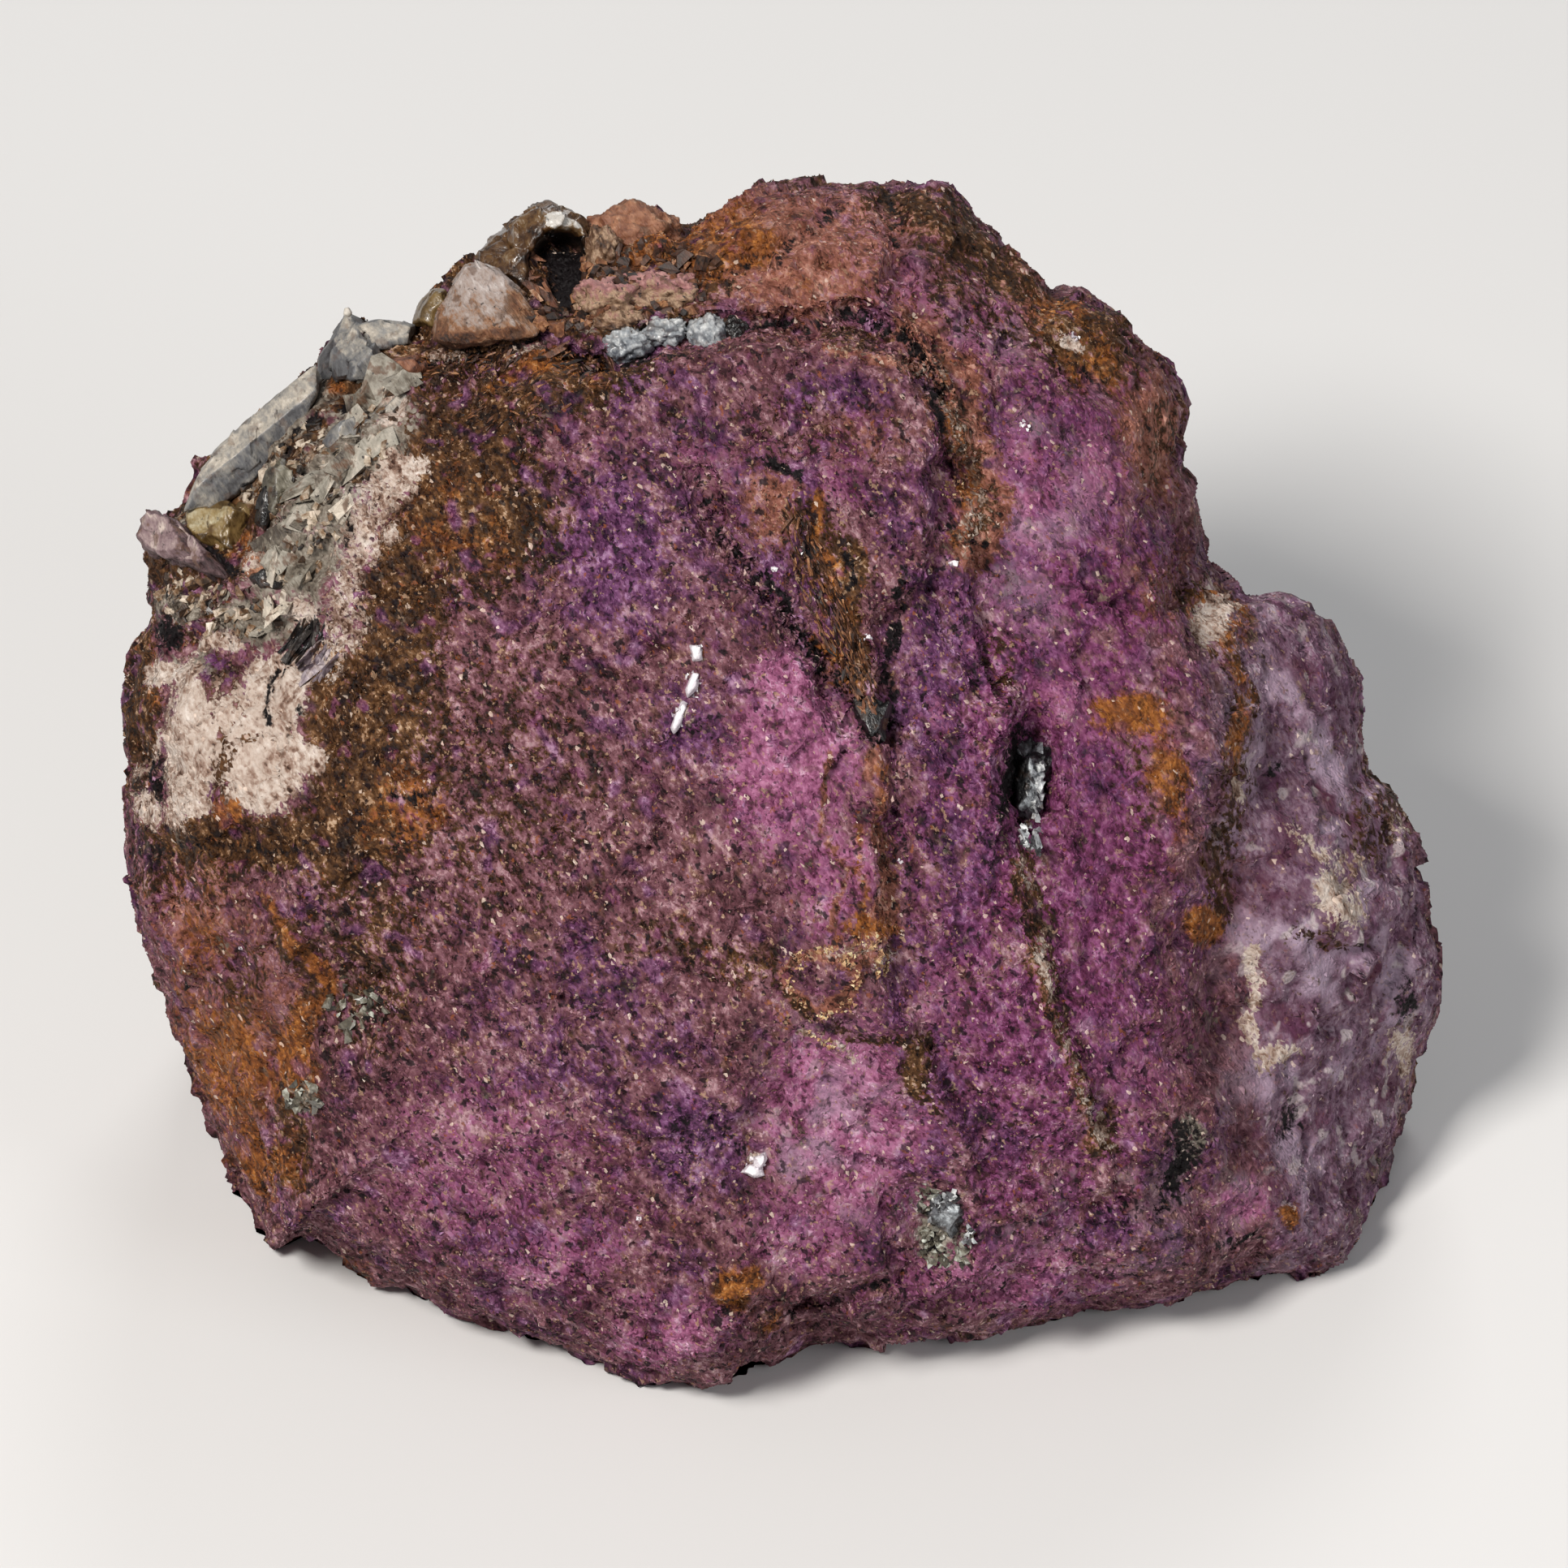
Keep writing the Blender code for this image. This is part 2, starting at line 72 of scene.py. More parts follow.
# All shapes are worked out in the rock's leaning picture plane: right, up, and depth towards
# the viewer, in millimetres from the middle of the outline, as the solid is.
rock = {
    "lean": 38.0,                 # degrees the picture plane leans back
    "middleHeight": 18.0,         # height of the outline's middle over the resting face
    "shift": (0.07, -0.05, 0.01),  # from there to the middle of the footprint
    "frontDepth": 17.0,           # depth of the face's middle, and of the back's
    "backDepth": 27.0,
    "backLip": 6.0,               # the back's flat faces start this far behind the outline
    "faceMiddle": (-6.0, -3.0),
    "faceReach": (27.0, 25.0),
    "faceFall": (2.6, 2.2),       # how far the face falls away sideways and upwards
    "leftFall": 2.6,              # and how far more on its left, between these places
    "leftFace": (-18.5, -25.0),
    "foot": (-4.0, -19.0),        # heights between which the outline comes down to the resting plane
    "restingSink": 0.4,
    "farSetBack": 3.0,            # how far the right-hand lobe lies back, and where it starts
    "farEdge": (15.0, 21.0),
    "frontFullness": 0.75,        # powers that round the face and the back
    "backFullness": 0.7,
    "rimStart": 0.72,             # share of the radius from which the outline is sharp
    "rimBand": 0.35,
    "notch": 0.6,                 # how fast the surface runs in from the outline's notches
    "reliefStart": 0.5,
    "runOut": (-17.0, -9.0),      # heights between which the terraces run out
    "smoothing": 12.0,            # degrees to each side over which the inner outline is smoothed
    "smoothingSteps": 9,
    "profileSteps": 400,
}

# Outline of the rock, clockwise from its top: (right, up)
outline = [
    (-1.0, 25.1), (0.9, 25.3), (3.7, 25.1), (4.3, 24.9), (5.9, 25.2), (6.8, 25.1), (7.4, 24.6), (8.0, 23.7),
    (9.6, 22.2), (11.2, 20.6), (12.4, 20.7), (13.9, 20.0), (15.1, 18.5), (16.1, 17.8), (16.6, 16.7),
    (16.9, 15.2), (16.5, 13.3), (17.1, 12.3), (17.5, 11.1), (17.7, 9.6), (18.5, 8.8), (19.2, 7.9),
    (21.0, 7.8), (22.8, 6.8), (24.1, 4.6), (24.4, 0.7), (25.7, -0.4), (26.6, -2.5), (27.0, -4.4),
    (27.8, -8.0), (27.6, -9.9), (26.9, -11.8), (25.1, -17.4), (24.5, -19.0), (23.7, -20.1), (22.5, -20.5),
    (19.0, -20.9), (18.4, -21.3), (12.7, -22.0), (9.8, -22.6), (8.1, -23.2), (2.3, -23.3), (1.1, -23.5),
    (-0.2, -24.4), (-2.4, -25.2), (-3.5, -25.4), (-5.5, -24.8), (-9.0, -23.8), (-13.9, -22.4),
    (-15.9, -21.1), (-19.9, -19.3), (-20.5, -19.1), (-21.4, -19.7), (-22.0, -19.3), (-22.5, -17.7),
    (-24.8, -13.0), (-26.5, -7.8), (-27.6, -1.5), (-27.4, 0.5), (-27.9, 3.3), (-26.7, 6.9), (-26.5, 8.6),
    (-26.8, 10.9), (-26.4, 11.2), (-25.5, 11.4), (-24.2, 13.4), (-20.9, 16.2), (-19.5, 17.4), (-18.4, 19.3),
    (-18.2, 19.7), (-17.7, 19.2), (-15.6, 19.2), (-14.6, 20.6), (-13.5, 21.7), (-12.6, 21.8), (-12.4, 22.4),
    (-11.1, 23.4), (-10.2, 23.9), (-8.0, 23.6), (-5.3, 24.0), (-4.7, 23.4), (-4.0, 23.4), (-1.9, 24.5),
]

# Terraces of the face: each region stands higher than what is right of it
nearLobe = [
    (-18.0, 14.0), (-12.8, 17.2), (-7.7, 16.7), (-5.4, 17.7), (-2.1, 18.3), (0.7, 18.6), (2.0, 19.5),
    (2.8, 18.6), (4.5, 17.7), (5.8, 16.3), (6.3, 15.0), (6.4, 11.2), (6.2, 8.4), (4.2, 7.0), (4.1, 2.0),
    (4.2, -8.0), (6.3, -11.4), (8.5, -17.0), (9.0, -40.0), (-40.0, -40.0), (-40.0, 8.0), (-24.0, 8.0),
]
middleLobe = [
    (-40.0, 40.0), (3.6, 40.0), (4.4, 21.3), (7.6, 15.0), (7.9, 9.0), (9.0, 3.0), (9.3, 0.2), (9.8, -2.9),
    (10.1, -5.9), (11.1, -7.7), (11.3, -9.6), (13.1, -14.8), (15.5, -18.0), (16.0, -40.0), (-40.0, -40.0),
]
frontRight = [
    (-40.0, 40.0), (12.0, 40.0), (15.6, 13.3), (16.4, 9.6), (16.8, 7.2), (18.8, 4.4), (18.9, 1.6),
    (18.0, -2.0), (17.0, -7.0), (17.2, -11.0), (18.2, -15.0), (17.4, -18.0), (19.0, -20.5), (19.5, -40.0),
    (-40.0, -40.0),
]
# region, rise, half width of its edge, share of the rise left at the foot, wandering of its edge
terraces = [
    (nearLobe, 1.4, 0.35, 0.25, 0.4), (middleLobe, 1.2, 0.4, 0.2, 0.7), (frontRight, 3.0, 1.6, 1.0, 2.4),
]
terraceWander = (5.0, 25)      # size and seed of the slow waves of their edges
terraceBend = [(2.4, 0.5, 21), (0.9, 0.25, 22)]    # size, reach, seed: roughens their edges

# Cracks and creases: points, half width, depth
cracks = [
    ([(-3.6, 12.5), (-2.7, 10.3), (-1.9, 9.1), (0.1, 6.8), (1.8, 4.9), (2.4, 3.3), (4.1, 2.0)], 0.35, 0.8),
    ([(-9.0, 17.6), (-7.5, 17.2), (-5.4, 18.2), (-2.1, 18.9), (0.7, 19.1), (3.0, 19.6),
      (5.0, 18.2), (6.6, 16.2)], 0.34, 1.3),
    ([(-2.9, -22.2), (-1.8, -21.9), (-0.6, -21.8), (0.3, -22.2), (4.0, -20.6), (5.9, -20.5)],
     0.3, 0.8),
    ([(-27.0, -2.9), (-23.0, -2.6), (-19.3, -2.8)], 0.5, 0.6),
    ([(-2.8, 21.1), (-0.1, 22.1), (2.2, 23.9)], 0.4, 0.7),
    ([(4.4, 24.8), (5.0, 21.4)], 0.4, 0.7),
    ([(4.3, 2.0), (4.5, -2.0), (4.4, -8.0)], 0.25, 0.3),
    ([(12.9, -18.0), (14.0, -17.3), (15.0, -17.9)], 0.35, 0.6),
    ([(-14.8, 17.3), (-12.4, 17.8), (-9.9, 18.3)], 0.35, 0.8),
    ([(7.1, 6.8), (8.1, 3.6)], 0.45, 0.5),
]

# Pits and lumps: right, up, half width, half height, turn in degrees, height (minus for a pit)
pitsAndLumps = [
    (9.9, 0.3, 1.0, 2.9, -8.0, -2.4), (16.6, -15.4, 1.2, 2.3, -10.0, -1.3),
    (6.4, -18.5, 1.5, 1.9, 25.0, -0.9), (12.4, 17.9, 2.2, 1.6, -20.0, -1.0),
    (-25.3, 6.0, 0.9, 0.9, 0.0, -0.8), (-19.7, 5.6, 1.1, 1.2, 30.0, -0.9),
    (-26.0, 0.2, 0.9, 1.4, 0.0, -0.7), (-17.4, -9.3, 1.5, 1.7, 20.0, -0.6),
    (21.5, 0.3, 1.2, 1.0, 0.0, -0.7), (21.5, -14.2, 1.3, 1.6, 0.0, -0.8), (1.6, 7.2, 1.9, 3.6, 20.0, -0.6),
    (8.8, 1.0, 0.9, 3.4, -6.0, 0.8), (2.2, -6.8, 2.4, 2.0, 20.0, 0.6), (-23.8, 1.6, 2.9, 2.8, 0.0, 0.5),
    (0.5, 1.4, 2.2, 3.4, -12.0, 0.6), (-20.4, -5.4, 1.0, 3.2, -8.0, 0.8), (5.2, 13.6, 0.9, 3.6, 8.0, 0.6),
    (18.0, 6.6, 1.4, 1.4, 0.0, 0.7), (12.8, 10.0, 3.2, 4.4, 10.0, 0.6), (22.5, -6.0, 2.6, 3.4, 0.0, 0.8),
    (-9.0, -14.0, 5.0, 4.0, 20.0, 0.5), (-6.0, 8.0, 4.6, 4.2, 0.0, 0.5), (-9.2, 21.0, 0.9, 1.3, 0.0, -1.6),
    (-19.6, 14.4, 0.7, 1.4, -45.0, -0.7),
]

# Broken flat faces at the back: slope right, slope up, depth under the middle
backFaces = [
    (0.06, 0.55, -25.0), (0.80, 0.35, -29.5), (-0.70, 0.50, -29.0), (0.30, 1.05, -30.0),
    (-0.35, 1.25, -34.0), (1.20, -0.10, -37.0),
]

# Waves over the whole rock: size, height, seed
waves = [(9.0, 0.75, 11), (4.0, 0.45, 12), (2.0, 0.2, 13)]
rimWaveShare = 0.35


def smoothStep(low, high, value):
    # rises from 0 at low to 1 at high
    share = np.clip((value - low) / (high - low), 0.0, 1.0)
    return share * share * (3.0 - 2.0 * share)


def shuffledRow(cell, shuffle):
    # one of 256 rows for each whole-number cell
    return shuffle[(shuffle[(shuffle[cell[:, 0] & 255] + cell[:, 1]) & 255] + cell[:, 2]) & 255]


def waveNoise(points, seed):
    # gradient noise: the slopes at a cell's eight corners, faded into each other
    chance = np.random.default_rng(seed)
    slopes = chance.normal(size=(256, 3))
    slopes /= np.linalg.norm(slopes, axis=1)[:, None]
    shuffle = chance.permutation(256)
    cell = np.floor(points).astype(int)
    local = points - cell
    fade = local ** 3 * (local * (local * 6.0 - 15.0) + 10.0)
    total = np.zeros(len(points))
    for corner in np.ndindex(2, 2, 2):
        row = shuffledRow(cell + corner, shuffle)
        share = np.where(np.array(corner) == 1, fade, 1.0 - fade).prod(axis=1)
        total += share * (slopes[row] * (local - corner)).sum(axis=1)
    return total


def chipNoise(points, seed):
    # height of the flat tilted chip round the nearest of scattered seeds, and a chance value for it
    chance = np.random.default_rng(seed)
    jitter = chance.uniform(0.1, 0.9, size=(256, 3))
    tilts = chance.normal(size=(256, 3))
    worth = chance.uniform(size=256)
    shuffle = chance.permutation(256)
    cell = np.floor(points).astype(int)
    nearest = np.full(len(points), np.inf)
    height = np.zeros(len(points))
    value = np.zeros(len(points))
    for corner in np.ndindex(3, 3, 3):
        key = cell + corner - 1
        row = shuffledRow(key, shuffle)
        offset = points - key - jitter[row]
        distance = (offset ** 2).sum(axis=1)
        closer = distance < nearest
        nearest = np.where(closer, distance, nearest)
        height = np.where(closer, (offset * tilts[row]).sum(axis=1), height)
        value = np.where(closer, worth[row], value)
    return height, value


def pathDistance(right, up, path):
    # distance to a chain of straight stretches
    nearest = np.full(right.shape, np.inf)
    for (rightA, upA), (rightB, upB) in zip(path[:-1], path[1:]):
        runRight, runUp = rightB - rightA, upB - upA
        along = (right - rightA) * runRight + (up - upA) * runUp
        share = np.clip(along / (runRight ** 2 + runUp ** 2), 0.0, 1.0)
        away = np.hypot(right - rightA - share * runRight, up - upA - share * runUp)
        nearest = np.minimum(nearest, away)
    return nearest


def insideDistance(right, up, region):
    # distance to the edge of a closed region, positive inside it
    inside = np.zeros(right.shape, dtype=bool)
    closed = region + region[:1]
    for (rightA, upA), (rightB, upB) in zip(closed[:-1], closed[1:]):
        if upA != upB:
            crossing = (rightB - rightA) * (up - upA) / (upB - upA) + rightA
            inside ^= ((upA > up) != (upB > up)) & (right < crossing)
    distance = pathDistance(right, up, closed)
    return np.where(inside, distance, -distance)


def ovalShare(right, up, centreRight, centreUp, halfWidth, halfHeight, turn=0.0):
    # 0 at an oval's middle, 1 on its edge
    swing = math.radians(turn)
    across = (right - centreRight) * math.cos(swing) + (up - centreUp) * math.sin(swing)
    along = (up - centreUp) * math.cos(swing) - (right - centreRight) * math.sin(swing)
    return (across / halfWidth) ** 2 + (along / halfHeight) ** 2


def outlineRadius(angle):
    # radius of the outline at an angle, sharp and smoothed to each side
    points = np.array(outline)
    angles = np.arctan2(points[:, 1], points[:, 0])
    order = np.argsort(angles)
    radii = np.hypot(points[:, 0], points[:, 1])[order]
    sharp = np.interp(angle, angles[order], radii, period=2.0 * math.pi)
    steps = np.radians(np.linspace(-rock["smoothing"], rock["smoothing"], rock["smoothingSteps"]))
    turned = [np.interp(angle + step, angles[order], radii, period=2.0 * math.pi) for step in steps]
    return sharp, np.mean(turned, axis=0)


def restingDepth(up):
    # the depth at which the resting plane lies, at each height in the picture plane
    lean = math.radians(rock["lean"])
    return -(rock["middleHeight"] + up * math.cos(lean)) / math.sin(lean)


def middleDepth(right, up):
    # depth of the outline: set back at the far lobe, on the resting plane at the foot
    depth = -rock["farSetBack"] * smoothStep(*rock["farEdge"], right)
    share = smoothStep(*rock["foot"], up)
    return depth * (1.0 - share) + (restingDepth(up) - rock["restingSink"]) * share


hollowBend = [(1.4, 0.5, 23), (0.5, 0.2, 24)]      # size, reach, seed: roughens the pits' borders


def bentPlaces(right, up, bends):
    # places moved about by waves, so that what is drawn at them gets an uneven border
    flat = np.column_stack([right, up, np.zeros(len(right))])
    moveRight = sum(reach * waveNoise(flat / size, seed) for size, reach, seed in bends)
    moveUp = sum(reach * waveNoise(flat / size, seed + 7) for size, reach, seed in bends)
    return right + moveRight, up + moveUp


def hollowRelief(right, up):
    # how deep the cracks and pits are, and how high the lumps
    right, up = bentPlaces(right, up, hollowBend)
    deep = np.zeros(right.shape)
    for path, halfWidth, depth in cracks:
        deep -= depth * np.exp(-(pathDistance(right, up, path) / halfWidth) ** 2)
    high = np.zeros(right.shape)
    for centreRight, centreUp, halfWidth, halfHeight, turn, height in pitsAndLumps:
        share = ovalShare(right, up, centreRight, centreUp, halfWidth, halfHeight, turn)
        swell = height * np.exp(-share ** 1.5)
        if height < 0.0:
            deep += swell
        else:
            high += swell
    return deep, high


def faceRelief(right, up):
    # terraces, cracks, pits and lumps of the face, towards the viewer
    aboveFoot = smoothStep(*rock["runOut"], up)
    flat = np.column_stack([right, up, np.zeros(len(right))])
    bend = sum(reach * waveNoise(flat / size, seed) for size, reach, seed in terraceBend)
    slow = waveNoise(flat / terraceWander[0], terraceWander[1])
    relief = np.zeros(right.shape)
    for region, rise, edge, footShare, wander in terraces:
        distance = insideDistance(right, up, region) + bend + wander * slow
        inside = smoothStep(-edge, edge, distance)
        relief += rise * inside * (footShare + (1.0 - footShare) * aboveFoot)
    deep, high = hollowRelief(right, up)
    return relief + deep + high


def faceDepth(right, up, rimDepth, level):
    # a dome with its relief; level is 0 on the outline and 1 in the middle
    dome = rock["frontDepth"] - sum(terrace[1] for terrace in terraces)
    dome -= rock["faceFall"][0] * ((right - rock["faceMiddle"][0]) / rock["faceReach"][0]) ** 2
    dome -= rock["faceFall"][1] * ((up - rock["faceMiddle"][1]) / rock["faceReach"][1]) ** 2
    dome -= rock["leftFall"] * smoothStep(*rock["leftFace"], right)
    relief = faceRelief(right, up) * smoothStep(0.0, rock["reliefStart"], level)
    share = level ** rock["frontFullness"]
    return rimDepth * (1.0 - share) + dome * share + relief


def backDepth(right, up, rimDepth, level):
    # a rounded back broken off along flat faces
    share = level ** rock["backFullness"]
    depth = rimDepth * (1.0 - share) - rock["backDepth"] * share
    for slopeRight, slopeUp, middle in backFaces:
        flat = middle + slopeRight * right + slopeUp * up
        depth = np.maximum(depth, np.minimum(flat, rimDepth - rock["backLip"] * share))
    return depth


def rockPoints(directions):
    # the rock's place for each unit direction: outline radius across, face or back depth along
    angle = np.arctan2(directions[:, 1], directions[:, 0])
    spread = np.hypot(directions[:, 0], directions[:, 1])
    sharp, smooth = outlineRadius(angle)
    rim = smoothStep(rock["rimStart"], 1.0, spread)
    radius = spread * (smooth * (1.0 - rim) + sharp * rim)
    radius = np.minimum(radius, sharp * (1.0 - rock["notch"] * (1.0 - spread)))
    right, up = radius * np.cos(angle), radius * np.sin(angle)
    rimDepth = middleDepth(sharp * np.cos(angle), sharp * np.sin(angle))
    level = np.clip(directions[:, 2], -1.0, 1.0)
    front = faceDepth(right, up, rimDepth, np.clip(level, 0.0, 1.0))
    back = backDepth(right, up, rimDepth, np.clip(-level, 0.0, 1.0))
    points = np.column_stack([right, up, np.where(level > 0.0, front, back)])
    height = sum(rise * waveNoise(points / size, seed) for size, rise, seed in waves)
    atRim = smoothStep(rock["rimBand"], 0.0, np.abs(directions[:, 2]))
    height *= 1.0 - (1.0 - rimWaveShare) * atRim
    return points + directions * height[:, None]


def toWorld(points):
    # from the leaning plane to metres in the part's own frame
    lean = math.radians(rock["lean"])
    right, up, depth = points.T
    forward = up * math.sin(lean) - depth * math.cos(lean)
    height = rock["middleHeight"] + up * math.cos(lean) + depth * math.sin(lean)
    return (np.column_stack([right, forward, height]) + rock["shift"]) * millimetre


def vertexNormals(points, triangles):
    # the mean of the normals of the triangles round each point
    a, b, c = (points[triangles[:, k]] for k in range(3))
    flat = np.cross(b - a, c - a)
    total = np.zeros(points.shape)
    for k in range(3):
        for axis in range(3):
            total[:, axis] += np.bincount(triangles[:, k], flat[:, axis], len(points))
    return total / np.maximum(np.linalg.norm(total, axis=1), 1e-12)[:, None]


def triangleSplit(quads):
    # each square as two triangles
    return np.vstack([quads[:, [0, 1, 2]], quads[:, [0, 2, 3]]])


def discGrid(count):
    # a square grid drawn into a disc: each side's middle stays, the corners are pulled in
    line = np.linspace(-1.0, 1.0, count + 1)
    x, y = np.meshgrid(line, line, indexing="ij")
    across, along = x * np.sqrt(1.0 - y * y / 2.0), y * np.sqrt(1.0 - x * x / 2.0)
    number = np.arange((count + 1) ** 2).reshape(count + 1, count + 1)
    quads = np.stack([number[:-1, :-1], number[1:, :-1], number[1:, 1:], number[:-1, 1:]], axis=-1)
    ring = np.concatenate([number[:-1, 0], number[-1, :-1], number[:0:-1, -1], number[0, :0:-1]])
    return across.ravel(), along.ravel(), quads.reshape(-1, 4), ring


def turnTable():
    # the turn from the viewer's direction that gives even spacing along the rock's own profile
    turn = np.linspace(0.0, math.pi / 2.0, rock["profileSteps"])
    across = rock["faceReach"][0] * np.sin(turn)
    along = rock["frontDepth"] * np.cos(turn) ** rock["frontFullness"]
    length = np.concatenate([[0.0], np.cumsum(np.hypot(np.diff(across), np.diff(along)))])
    return length / length[-1], turn


def makeMesh(name, points, quads, triangles=None):
    # a mesh object from places in the leaning plane
    faces = quads.tolist() + ([] if triangles is None else triangles.tolist())
    places = np.clip(toWorld(points), np.array(cadLow) + boxMargin, np.array(cadHigh) - boxMargin)
    mesh = bpy.data.meshes.new(name)
    mesh.from_pydata(places.tolist(), [], faces)
    mesh.update()
    piece = bpy.data.objects.new(name, mesh)
    bpy.context.scene.collection.objects.link(piece)
    return piece


def setAttribute(piece, name, values):
    # one colour-like value of four numbers at each point
    layer = piece.data.attributes.new(name, "FLOAT_COLOR", "POINT")
    layer.data.foreach_set("color", np.ascontiguousarray(values, dtype=np.float32).ravel())


def smoothShade(piece):
    piece.data.polygons.foreach_set("use_smooth", [True] * len(piece.data.polygons))


def onRock(piece):
    # every piece rides on the rock's body and stands in for its solid
    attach(piece, "root")
    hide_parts("specimen")


